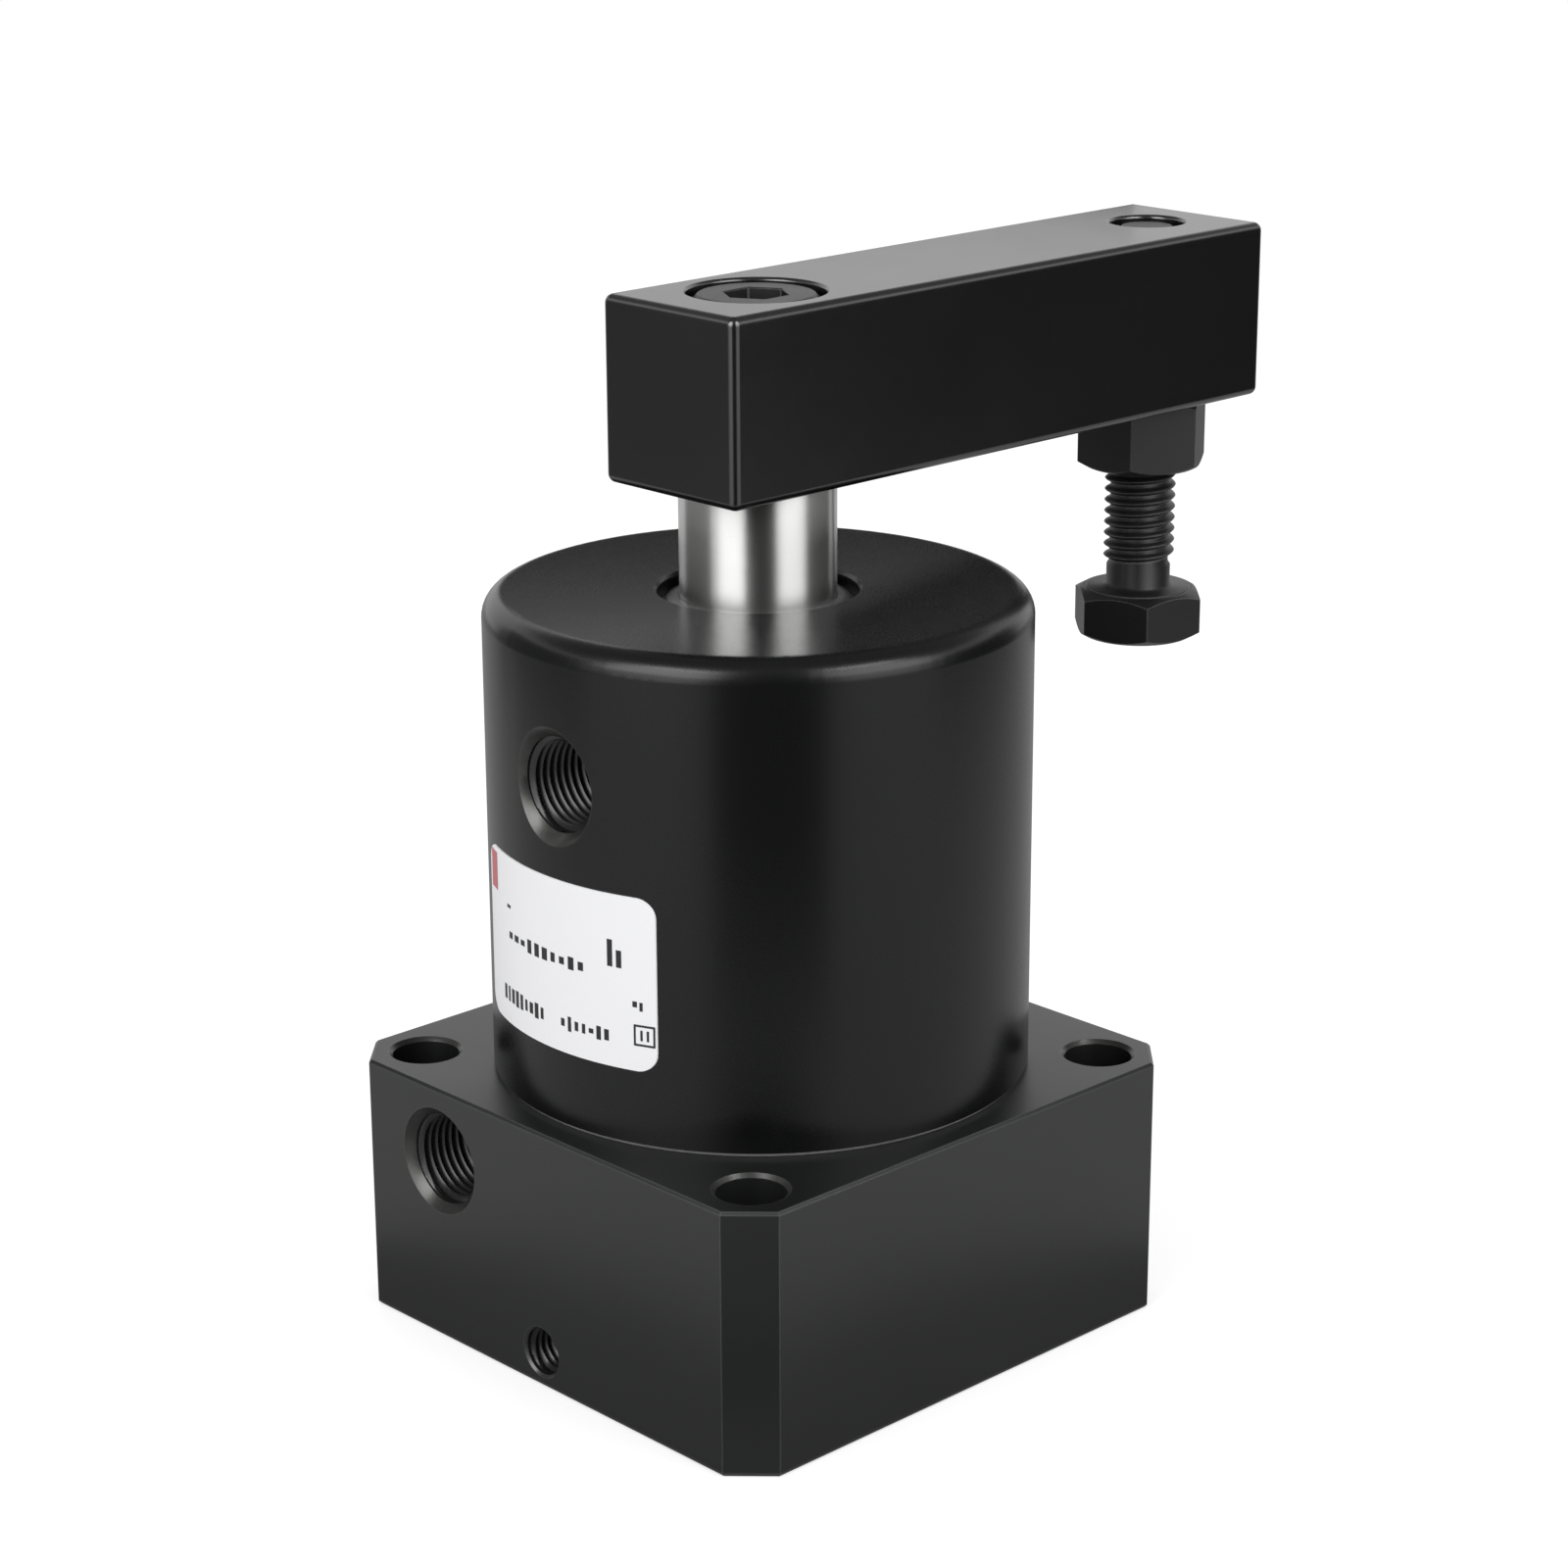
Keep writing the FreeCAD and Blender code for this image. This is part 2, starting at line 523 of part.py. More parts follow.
def track_tool(start_angle):
    """One groove of the guide shaft: straight for the clamp stroke, helical for the swing."""
    track_r = TRACK_DIAMETER / 2
    elbow = PIN_HEIGHT + CLAMP_STROKE
    low = Vector(GUIDE_SHAFT_R, 0, PIN_HEIGHT)
    corner = Vector(GUIDE_SHAFT_R, 0, elbow)
    pitch = SWING_STROKE * FULL_TURN / SWING_ANGLE
    helix = Part.makeHelix(pitch, SWING_STROKE, GUIDE_SHAFT_R, 0, True)
    helix.translate(UP * elbow)
    slope = Vector(0, -GUIDE_SHAFT_R * 2 * math.pi / pitch, 1)
    section = Part.Wire([Part.makeCircle(track_r, corner, slope)])
    swing = Part.Wire(helix.Edges).makePipeShell([section], True, True)
    turn = -math.radians(SWING_ANGLE)
    high = Vector(GUIDE_SHAFT_R * math.cos(turn), GUIDE_SHAFT_R * math.sin(turn), elbow + SWING_STROKE)
    tools = [rod_between(low, corner, track_r), swing]
    tools += [Part.makeSphere(track_r, place) for place in (low, corner, high)]
    for tool in tools:
        tool.rotate(ORIGIN, UP, start_angle)
    return tools


def guide_shaft():
    """Fixed shaft inside the rod, whose two tracks swing the rod over the end of its stroke."""
    edge = GUIDE_SHAFT_R - ROD_CHAMFER
    shaft = turned([(0, GUIDE_SHAFT_BOTTOM), (GUIDE_SHAFT_R, GUIDE_SHAFT_BOTTOM),
                    (GUIDE_SHAFT_R, GUIDE_SHAFT_TOP - ROD_CHAMFER), (edge, GUIDE_SHAFT_TOP),
                    (0, GUIDE_SHAFT_TOP)])
    for start_angle in (0, FULL_TURN / 2):
        for tool in track_tool(start_angle):
            shaft = shaft.cut(tool)
    screw_end = guide_screw_seat() + GUIDE_SCREW_LENGTH + ROD_CHAMFER
    screw_hole = Part.makeCylinder(GUIDE_SCREW_R + STATIC_FIT, screw_end - GUIDE_SHAFT_BOTTOM + CUT_PAST,
                                   Vector(0, 0, GUIDE_SHAFT_BOTTOM - CUT_PAST))
    return shaft.cut(screw_hole).cut(dowel(STATIC_FIT))


def guide_shaft_screw():
    """Screw that holds the guide shaft from under the end cap."""
    return socket_screw(GUIDE_SCREW_HEAD_DIAMETER, GUIDE_SCREW_HEAD_HEIGHT, GUIDE_SCREW_DIAMETER,
                        GUIDE_SCREW_LENGTH, GUIDE_SCREW_SOCKET, guide_screw_seat(), False)


def rating_label():
    """Rounded label that follows the barrel."""
    inner = BARREL_R + LABEL_GLUE
    outer = inner + LABEL_THICKNESS
    half_width = outer * math.sin(math.radians(LABEL_HALF_ANGLE))
    low = BASE_HEIGHT + LABEL_ABOVE_BASE
    plate = Part.makeBox(BARREL_DIAMETER, 2 * half_width, LABEL_HEIGHT, Vector(0, -half_width, low))
    corners = [edge for edge in plate.Edges if edge.BoundBox.XLength > BARREL_R]
    plate = plate.makeFillet(LABEL_CORNER, corners)
    label = ring(inner, outer, low - CUT_PAST, low + LABEL_HEIGHT + CUT_PAST).common(plate)
    label.rotate(ORIGIN, UP, LABEL_MIDDLE_ANGLE)
    return label


def piston():
    """Piston with grooves for its wear ring, its seal and the rod's seal."""
    recess_r = PISTON_RECESS_DIAMETER / 2
    recess_top = PISTON_BOTTOM + PISTON_RECESS_DEPTH
    edge_r = PISTON_R - PISTON_CHAMFER
    body = turned([(recess_r, PISTON_BOTTOM), (edge_r, PISTON_BOTTOM),
                   (PISTON_R, PISTON_BOTTOM + PISTON_CHAMFER), (PISTON_R, PISTON_TOP - PISTON_CHAMFER),
                   (edge_r, PISTON_TOP), (PISTON_BORE_R, PISTON_TOP), (PISTON_BORE_R, recess_top),
                   (recess_r, recess_top)])
    outside = PISTON_R + CUT_PAST
    wear_low, wear_high = wear_ring_heights()
    seal_low, seal_high = piston_seal_heights()
    seal_middle = (seal_low + seal_high) / 2
    cuts = [ring(BORE_R - WEAR_RING_THICKNESS, outside, wear_low, wear_high),
            ring(BORE_R - PISTON_SEAL_DEPTH, outside, seal_low, seal_high),
            ring(PISTON_BORE_R - CUT_PAST, PISTON_BORE_R + ROD_SEAL_GROOVE_DEPTH,
                 seal_middle - ROD_SEAL_GROOVE_WIDTH / 2, seal_middle + ROD_SEAL_GROOVE_WIDTH / 2)]
    for cut in cuts:
        body = body.cut(cut)
    return body


def wear_ring_heights():
    """Bottom and top of the wear ring's groove."""
    low = PISTON_BOTTOM + PISTON_LAND
    return low, low + WEAR_RING_WIDTH


def piston_seal_heights():
    """Bottom and top of the piston seal's groove."""
    high = PISTON_TOP - PISTON_LAND - PISTON_CHAMFER
    return high - PISTON_SEAL_WIDTH, high


def wear_ring():
    """Split plastic ring that carries the piston in the bore."""
    low, high = wear_ring_heights()
    band = ring(BORE_R - WEAR_RING_THICKNESS + RUBBER_CLEARANCE, BORE_R - RUNNING_FIT,
                low + RUBBER_CLEARANCE, high - RUBBER_CLEARANCE)
    split = Part.makeBox(BORE_DIAMETER, WEAR_RING_SPLIT, WEAR_RING_WIDTH, Vector(0, 0, low))
    return band.cut(split)


def piston_seal():
    """Two-lipped rubber seal of the piston."""
    low, high = piston_seal_heights()
    floor = BORE_R - PISTON_SEAL_DEPTH + RUBBER_CLEARANCE
    wall = BORE_R - RUNNING_FIT
    waist = (floor + wall) / 2
    bottom = low + RUBBER_CLEARANCE
    top = high - RUBBER_CLEARANCE
    return turned([(floor, bottom), (wall - SEAL_LIP, bottom), (wall, bottom + SEAL_LIP),
                   (waist, (bottom + top) / 2), (wall, top - SEAL_LIP), (wall - SEAL_LIP, top),
                   (floor, top)])


def piston_rod_seal():
    """Ring between the piston and the end of the rod."""
    low, high = piston_seal_heights()
    return round_ring(PISTON_BORE_R + ROD_SEAL_GROOVE_DEPTH, ROD_END_R, (low + high) / 2)


def retaining_ring_heights():
    """Bottom and top of the retaining ring, which hooks up in the piston's recess."""
    high = PISTON_BOTTOM + PISTON_RECESS_DEPTH - FACE_GAP
    return high - RETAINING_RING_THICKNESS, high


def piston_rod():
    """Hollow rod with a stepped end for the piston and a cone for the arm."""
    shoulder = PISTON_TOP + FACE_GAP
    cone_r = ROD_R - ROD_SHOULDER
    hole_bottom = SCREW_SEAT - SCREW_LENGTH - SCREW_HOLE_OVERRUN
    point = SCREW_THREAD_HOLE_R / math.tan(math.radians(DRILL_POINT_ANGLE / 2))
    low, high = retaining_ring_heights()
    groove_r = ROD_END_R - RETAINING_RING_GROOVE
    rod = turned([(ROD_BORE_R, ROD_BOTTOM), (ROD_END_R, ROD_BOTTOM),
                  (ROD_END_R, low - FACE_GAP), (groove_r, low - FACE_GAP),
                  (groove_r, high + FACE_GAP), (ROD_END_R, high + FACE_GAP),
                  (ROD_END_R, shoulder), (ROD_R, shoulder), (ROD_R, ARM_BOTTOM), (cone_r, ARM_BOTTOM),
                  (cone_r - CONE_TAPER, CONE_TOP), (SCREW_THREAD_HOLE_R, CONE_TOP),
                  (SCREW_THREAD_HOLE_R, hole_bottom), (0, hole_bottom - point),
                  (0, ROD_BORE_TOP), (ROD_BORE_R, ROD_BORE_TOP)])
    return rod.cut(guide_pin_bar(STATIC_FIT))


def guide_pin_bar(growth=0.0):
    """Bar through both guide pins; growth makes their holes."""
    end = Vector(ROD_R, 0, PIN_HEIGHT)
    return rod_between(Vector(-ROD_R, 0, PIN_HEIGHT), end, GUIDE_PIN_DIAMETER / 2 + growth)


def guide_pins():
    """Two pins in the rod's wall that face the guide shaft's tracks."""
    half = GUIDE_PIN_DIAMETER
    wall = ring(GUIDE_SHAFT_R + GUIDE_PIN_SET_BACK, ROD_END_R, PIN_HEIGHT - half, PIN_HEIGHT + half)
    return wall.common(guide_pin_bar())


def piston_retaining_ring():
    """Open spring ring that holds the piston on the rod, with an eye at each end."""
    low, high = retaining_ring_heights()
    inner = ROD_END_R - RETAINING_RING_GROOVE + STATIC_FIT
    outer = inner + RETAINING_RING_WIDTH
    hoop = ring(inner, outer, low, high)
    half_gap = math.radians(RETAINING_RING_GAP / 2)
    reach = 2 * outer
    side = reach * math.tan(half_gap)
    wedge = Part.Face(Part.makePolygon([Vector(0, 0, low), Vector(reach, side, low),
                                        Vector(reach, -side, low), Vector(0, 0, low)]))
    hoop = hoop.cut(wedge.extrude(UP * RETAINING_RING_THICKNESS))
    eye_place = outer - RETAINING_RING_EYE / 2
    eyes = []
    for side in (-1, 1):
        angle = side * (half_gap + RETAINING_RING_EYE / outer)
        place = Vector(eye_place * math.cos(angle), eye_place * math.sin(angle), low)
        hoop = hoop.fuse(Part.makeCylinder(RETAINING_RING_EYE, RETAINING_RING_THICKNESS, place))
        eyes.append(Part.makeCylinder(RETAINING_RING_EYE / 2, RETAINING_RING_THICKNESS, place))
    for eye in eyes:
        hoop = hoop.cut(eye)
    return hoop.cut(Part.makeCylinder(inner, RETAINING_RING_THICKNESS, Vector(0, 0, low)))


def clamp_arm():
    """Square bar that sits on the rod's cone and carries the clamp bolt."""
    bar = Part.makeBox(ARM_TAIL + ARM_REACH + ARM_NOSE, ARM_WIDTH, ARM_HEIGHT,
                       Vector(-ARM_TAIL, -ARM_WIDTH / 2, ARM_BOTTOM))
    bar = bar.makeFillet(ARM_ROUND, bar.Edges)
    cone_r = ROD_R - ROD_SHOULDER + STATIC_FIT
    slope = CONE_TAPER / CONE_HEIGHT
    counterbore_r = (SCREW_HEAD_DIAMETER + COUNTERBORE_CLEARANCE) / 2
    mouth_r = counterbore_r + ARM_HOLE_MOUTH
    rod_seat = turned([(0, ARM_BOTTOM - CUT_PAST), (cone_r + slope * CUT_PAST, ARM_BOTTOM - CUT_PAST),
                       (cone_r - CONE_TAPER, CONE_TOP + FACE_GAP),
                       (SCREW_R + SCREW_HOLE_CLEARANCE, CONE_TOP + FACE_GAP),
                       (SCREW_R + SCREW_HOLE_CLEARANCE, SCREW_SEAT), (counterbore_r, SCREW_SEAT),
                       (counterbore_r, ARM_TOP - ARM_HOLE_MOUTH),
                       (mouth_r + CUT_PAST, ARM_TOP + CUT_PAST), (0, ARM_TOP + CUT_PAST)])
    wide = SCREW_THREAD_HOLE_R + ARM_HOLE_MOUTH + CUT_PAST
    bolt_hole = turned([(0, ARM_BOTTOM - CUT_PAST), (wide, ARM_BOTTOM - CUT_PAST),
                        (SCREW_THREAD_HOLE_R, ARM_BOTTOM + ARM_HOLE_MOUTH),
                        (SCREW_THREAD_HOLE_R, ARM_TOP - ARM_HOLE_MOUTH),
                        (wide, ARM_TOP + CUT_PAST), (0, ARM_TOP + CUT_PAST)])
    bolt_hole.translate(ALONG * ARM_REACH)
    return bar.cut(rod_seat).cut(bolt_hole)


def arm_screw():
    """Socket head screw that pulls the arm down on the rod."""
    return socket_screw(SCREW_HEAD_DIAMETER, SCREW_HEAD_HEIGHT, SCREW_DIAMETER, SCREW_LENGTH,
                        SCREW_SOCKET, SCREW_SEAT)


def locknut():
    """Nut that locks the clamp bolt under the arm."""
    low = ARM_BOTTOM - NUT_HEIGHT
    wide = SCREW_THREAD_HOLE_R + ARM_HOLE_MOUTH
    hole = turned([(0, low - CUT_PAST), (wide + CUT_PAST, low - CUT_PAST),
                   (SCREW_THREAD_HOLE_R, low + ARM_HOLE_MOUTH),
                   (SCREW_THREAD_HOLE_R, ARM_BOTTOM + CUT_PAST), (0, ARM_BOTTOM + CUT_PAST)])
    nut = chamfered_hexagon(low, ARM_BOTTOM, NUT_TURN).cut(hole)
    nut.translate(ALONG * ARM_REACH)
    return nut


def clamp_bolt():
    """Hexagon bolt, head down, whose head presses on the work."""
    seat = ARM_BOTTOM - BOLT_DROP
    shank_r = BOLT_SHANK_DIAMETER / 2
    thread_r = SCREW_R - BOLT_THREAD_RELIEF
    tip = SCREW_DIAMETER * SCREW_TIP_SHARE
    end = seat + BOLT_LENGTH
    low = seat + BOLT_SHANK_LENGTH
    shank = turned([(0, seat - CUT_PAST), (shank_r, seat - CUT_PAST), (shank_r, low),
                    (thread_r, low + thread_r - shank_r), (thread_r, end - tip),
                    (thread_r - tip, end), (0, end)])
    bolt = chamfered_hexagon(seat - BOLT_HEAD_HEIGHT, seat, BOLT_HEAD_TURN).fuse(shank)
    bolt.translate(ALONG * ARM_REACH)
    return bolt.removeSplitter()


PIECES = [base_block, barrel, end_cap, end_cap_seal, barrel_seal, cap_lock_screw, cap_bumper,
          head_bumper, guide_bush, rod_seal, rod_wiper, guide_shaft, guide_shaft_screw, rating_label,
          piston, wear_ring, piston_seal, piston_rod_seal, piston_rod, guide_pins,
          piston_retaining_ring, clamp_arm, arm_screw, locknut, clamp_bolt]


def main():
    """Write one file for each piece."""
    os.makedirs("parts", exist_ok=True)
    for make_piece in PIECES:
        make_piece().exportStep(os.path.join("parts", make_piece.__name__ + ".step"))
    dowel().exportStep(os.path.join("parts", "guide_shaft_dowel.step"))


main()
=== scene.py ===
"""Studio view of a swing clamp cylinder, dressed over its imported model.

Every length is in metres, in the frame of the model: the origin is the centre of the foot's
underside and +Z runs up the rod.
"""
import json
import math

import bmesh
import bpy
from bpy.props import FloatProperty, FloatVectorProperty, IntProperty, PointerProperty
from mathutils import Matrix, Vector


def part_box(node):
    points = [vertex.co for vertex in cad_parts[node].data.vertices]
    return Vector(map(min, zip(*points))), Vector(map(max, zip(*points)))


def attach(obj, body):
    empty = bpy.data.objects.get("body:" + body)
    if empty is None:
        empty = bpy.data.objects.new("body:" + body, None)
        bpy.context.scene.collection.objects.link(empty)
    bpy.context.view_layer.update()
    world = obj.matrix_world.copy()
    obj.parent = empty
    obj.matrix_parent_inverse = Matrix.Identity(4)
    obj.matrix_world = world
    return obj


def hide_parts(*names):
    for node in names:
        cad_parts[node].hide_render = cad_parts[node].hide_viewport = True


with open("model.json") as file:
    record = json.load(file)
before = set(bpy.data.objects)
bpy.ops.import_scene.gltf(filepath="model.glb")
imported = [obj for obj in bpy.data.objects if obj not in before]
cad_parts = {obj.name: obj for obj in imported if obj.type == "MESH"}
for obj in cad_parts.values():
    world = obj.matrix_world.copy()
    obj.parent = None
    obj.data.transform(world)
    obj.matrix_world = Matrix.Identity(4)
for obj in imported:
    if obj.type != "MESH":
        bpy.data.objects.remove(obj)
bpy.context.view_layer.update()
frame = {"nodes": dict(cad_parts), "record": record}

bl_info = {
    "name": "Swing clamp cylinder",
    "version": (1, 0, 0),
    "blender": (4, 5, 0),
    "location": "3D View > Sidebar > Clamp cylinder",
    "description": "Dresses a swing clamp cylinder with threads, knurling, finishes, label and studio",
    "category": "Object",
}

MM = 0.001
MERGE = 0.002 * MM
WHOLE_TURN = 2 * math.pi
SHARP_ANGLE = math.radians(28)
THREAD_SHARP_ANGLE = math.radians(50)
FLAT_ANGLE = math.radians(0.3)
GRAIN_DETAIL = 3.0
SLOW_TONE_SCALE = 70.0
# Edge grey: partly bare metal where the finish is worn, partly painted highlight on the edges
WORN_METAL_AND_HIGHLIGHT = (0.45, 0.46, 0.46, 1.0)
FLOOR_GREY = (0.5, 0.5, 0.5, 1.0)
WHITE = (1.0, 1.0, 1.0, 1.0)
BLACK = (0.0, 0.0, 0.0, 1.0)

# Places read from the model
BOLT_LOW, BOLT_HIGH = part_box("clamp_bolt")
FOOT_LOW, FOOT_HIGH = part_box("base_block")
SCREW_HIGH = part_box("arm_screw")[1]
BARREL_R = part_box("barrel")[1].x
BOLT_AXIS = Vector(((BOLT_LOW.x + BOLT_HIGH.x) / 2, 0, 0))
UP = Vector((0, 0, 1))
INWARD = Vector((1, 0, 0))


def mount(name):
    """Place and lengths, all in metres, of one of the record's mounts."""
    for entry in frame["record"]["mounts"]:
        if entry["name"] == name:
            lengths = {key: size * MM for key, size in entry["dims"].items() if key.endswith("_mm")}
            return Vector(entry["pos_m"]), lengths
    raise ValueError("no mount named " + name)


def length(name, default, description):
    """Length property shown in metres."""
    return FloatProperty(name=name, description=description, default=default, precision=6, unit="LENGTH")


def colour(name, default, description):
    """Colour property."""
    return FloatVectorProperty(name=name, description=description, default=default, subtype="COLOR",
                               size=3, min=0.0, max=1.0)


class ClampThreadSizes(bpy.types.PropertyGroup):
    """Sizes of the threads and of the screw head's knurling."""
    port_radius: length("Port radius", 4.86 * MM, "Outside radius of the port thread")
    port_pitch: length("Port pitch", 0.907 * MM, "Pitch of the port thread")
    port_depth: length("Port thread depth", 0.56 * MM, "Depth of the port thread")
    port_start: length("Port start", 0.8 * MM, "Where the port thread starts behind the face")
    port_turns: FloatProperty(name="Port turns", description="Turns of the port thread", default=8.0)
    lock_radius: length("Lock hole radius", 2.49 * MM, "Outside radius of the small thread")
    lock_pitch: length("Lock hole pitch", 0.8 * MM, "Pitch of the small thread")
    lock_depth: length("Lock thread depth", 0.4 * MM, "Depth of the small thread")
    lock_turns: FloatProperty(name="Lock hole turns", description="Turns of the small thread", default=4.0)
    lock_height: length("Lock hole height", 3.8 * MM, "Height of the small hole above the floor")
    bolt_root: length("Bolt root radius", 3.28 * MM, "Root radius of the clamp bolt's thread")
    bolt_pitch: length("Bolt pitch", 1.25 * MM, "Pitch of the clamp bolt's thread")
    bolt_depth: length("Bolt thread depth", 0.66 * MM, "Depth of the clamp bolt's thread")
    bolt_head: length("Bolt head height", 5.3 * MM, "Height of the clamp bolt's head")
    bolt_shank: length("Bolt shank", 2.6 * MM, "Plain length under the clamp bolt's head")
    bolt_shank_radius: length("Bolt shank radius", 3.55 * MM, "Radius of the plain length")
    knurl_count: IntProperty(name="Knurl ridges", description="Ridges round the arm screw's head", default=52)
    knurl_width: length("Knurl width", 0.42 * MM, "Width of a ridge")
    knurl_depth: length("Knurl depth", 0.16 * MM, "How far a ridge stands out")


class ClampColours(bpy.types.PropertyGroup):
    """Colours of the finishes."""
    foot: colour("Foot", (0.0075, 0.0083, 0.008), "Blasted black anodising of the foot")
    barrel: colour("Barrel", (0.0038, 0.004, 0.004), "Smooth black anodising of the barrel")
    arm: colour("Arm", (0.0026, 0.0027, 0.0027), "Black finish of the arm")
    chrome: colour("Rod", (0.78, 0.78, 0.77), "Ground chrome of the rod")
    oxide: colour("Fasteners", (0.011, 0.011, 0.011), "Black oxide of screws and nut")
    handled: colour("Clamp bolt", (0.3, 0.3, 0.295), "Worn oxide of the clamp bolt's head")
    cut_edge: colour("Cut edge", (0.07, 0.07, 0.068), "Countersinks cut after the blasting")
    # Light line at the barrel's foot: partly bare metal, partly painted highlight on the edge
    foot_line_and_highlight: colour("Foot line and highlight", (0.42, 0.42, 0.42), "Thin line where the barrel's foot chamfer is bare")
    lip: colour("Wiper", (0.04, 0.04, 0.04), "Wiper ring round the rod")
    bare: colour("Bare metal", (0.42, 0.42, 0.43), "Bare turned metal")
    bronze: colour("Bronze", (0.45, 0.29, 0.11), "Guide bush")
    rubber: colour("Rubber", (0.012, 0.012, 0.012), "Seals and bumpers")
    plastic: colour("Wear ring", (0.03, 0.11, 0.08), "Wear ring")
    film: colour("Label", (0.87, 0.87, 0.885), "White label film")
    ink: colour("Ink", (0.012, 0.012, 0.013), "Dark print")
    accent: colour("Accent", (0.52, 0.13, 0.15), "Red print")


class ClampLabelSizes(bpy.types.PropertyGroup):
    """Layout of the label's generic marks; angles are round the barrel, heights above the floor."""
    mark_thickness: length("Mark thickness", 0.02 * MM, "How far print stands on the film")
    big_row: length("Upper row height", 45.9 * MM, "Height of the upper row of marks")
    small_row: length("Lower row height", 39.4 * MM, "Height of the lower row of marks")
    big_first: FloatProperty(name="Upper row start", description="Angle of the first mark",
                             default=math.radians(164.0), subtype="ANGLE")
    small_first: FloatProperty(name="Lower row start", description="Angle of the first mark",
                               default=math.radians(160.5), subtype="ANGLE")
    big_count: IntProperty(name="Upper marks", description="Marks in the upper row", default=10)
    small_count: IntProperty(name="Lower marks", description="Marks in the lower row", default=9)
    seed: IntProperty(name="Seed", description="Seed of the marks' sizes", default=7)


class ClampStudio(bpy.types.PropertyGroup):
    """Camera and light."""
    azimuth: FloatProperty(name="Azimuth", description="Camera turn from the -Y side", subtype="ANGLE",
                           default=math.radians(-43.705))
    elevation: FloatProperty(name="Elevation", description="Camera height angle", subtype="ANGLE",
                             default=math.radians(17.835))
    roll: FloatProperty(name="Roll", description="Camera roll", subtype="ANGLE",
                        default=math.radians(-0.251))
    distance: length("Distance", 388.079 * MM, "Camera distance from its target")
    target_x: length("Target X", 3.486 * MM, "Where the camera looks, along X")
    target_z: length("Target Z", 56.739 * MM, "Where the camera looks, above the floor")
    lens: FloatProperty(name="Lens", description="Focal length in millimetres", default=86.135)
    ambient: FloatProperty(name="Ambient", description="Level of the room's light", default=0.84)
    floor_glow: FloatProperty(name="Floor glow", description="Level of the floor seen directly", default=0.6)
    box_level: FloatProperty(name="Soft boxes", description="Brightness of the lamps", default=1.2)
    card_level: FloatProperty(name="Grey cards", description="Brightness of the reflected cards", default=0.2)
    strip_level: FloatProperty(name="Strips", description="Brightness of the reflected strips", default=5.0)


def look_node(tree, kind, **values):
    """New node with its properties set."""
    made = tree.nodes.new(kind)
    for name, value in values.items():
        setattr(made, name, value)
    return made


def reckon(tree, operation, first, second=None, clamp=False):
    """Math node fed by sockets or plain numbers; returns its result."""
    made = look_node(tree, "ShaderNodeMath", operation=operation, use_clamp=clamp)
    for place, value in enumerate((first, second)):
        if value is None:
            continue
        if isinstance(value, (int, float)):
            made.inputs[place].default_value = value
        else:
            tree.links.new(value, made.inputs[place])
    return made.outputs[0]


def tint(base, factor):
    """Colour made lighter or darker, as four numbers."""
    return tuple(min(1.0, part * factor) for part in base) + (1.0,)


def finish(name, base, metallic=0.0, roughness=0.4, specular=0.5, grain=0.4 * MM, depth=0.004 * MM,
           stretch=(1.0, 1.0, 1.0), tone=0.2, spread=0.06, edge_rub_and_highlight=0.0, edge_rub_and_highlight_reach=0.2 * MM,
           anisotropy=0.0, ior=1.5):
    """Procedural surface: fine grain, slow tone, uneven gloss, and lighter edges that are partly worn metal,
    partly painted highlight.
    """
    material = bpy.data.materials.new(name)
    material.use_nodes = True
    tree = material.node_tree
    shader = tree.nodes["Principled BSDF"]
    shader.inputs["Metallic"].default_value = metallic
    shader.inputs["Specular IOR Level"].default_value = specular
    shader.inputs["IOR"].default_value = ior
    shader.inputs["Anisotropic"].default_value = anisotropy
    quarter_turn = 0.25
    shader.inputs["Anisotropic Rotation"].default_value = quarter_turn if anisotropy else 0.0
    place = look_node(tree, "ShaderNodeTexCoord").outputs["Object"]
    mapping = look_node(tree, "ShaderNodeMapping")
    mapping.inputs["Scale"].default_value = stretch
    tree.links.new(place, mapping.inputs["Vector"])
    fine = look_node(tree, "ShaderNodeTexNoise")
    fine.inputs["Scale"].default_value = 1 / grain
    fine.inputs["Detail"].default_value = GRAIN_DETAIL
    tree.links.new(mapping.outputs["Vector"], fine.inputs["Vector"])
    slow = look_node(tree, "ShaderNodeTexNoise")
    slow.inputs["Scale"].default_value = SLOW_TONE_SCALE
    tree.links.new(place, slow.inputs["Vector"])
    blend = reckon(tree, "MULTIPLY", reckon(tree, "ADD", fine.outputs["Fac"], slow.outputs["Fac"]), 0.5)
    shade = look_node(tree, "ShaderNodeMix", data_type="RGBA")
    tree.links.new(blend, shade.inputs["Factor"])
    shade.inputs["A"].default_value = tint(base, 1 - tone)
    shade.inputs["B"].default_value = tint(base, 1 + tone)
    surface = shade.outputs["Result"]
    # Sharp edges painted lighter: partly worn finish, partly painted highlight
    if edge_rub_and_highlight:
        surface = worn_and_highlit_edges(tree, surface, fine.outputs["Fac"], edge_rub_and_highlight, edge_rub_and_highlight_reach)
    tree.links.new(surface, shader.inputs["Base Color"])
    gloss = look_node(tree, "ShaderNodeMapRange")
    gloss.inputs["To Min"].default_value = roughness - spread
    gloss.inputs["To Max"].default_value = roughness + spread
    tree.links.new(blend, gloss.inputs["Value"])
    tree.links.new(gloss.outputs["Result"], shader.inputs["Roughness"])
    bump = look_node(tree, "ShaderNodeBump")
    bump.inputs["Distance"].default_value = depth
    tree.links.new(fine.outputs["Fac"], bump.inputs["Height"])
    tree.links.new(bump.outputs["Normal"], shader.inputs["Normal"])
    if anisotropy:
        tangent = look_node(tree, "ShaderNodeTangent", direction_type="RADIAL", axis="Z")
        tree.links.new(tangent.outputs["Tangent"], shader.inputs["Tangent"])
    return material


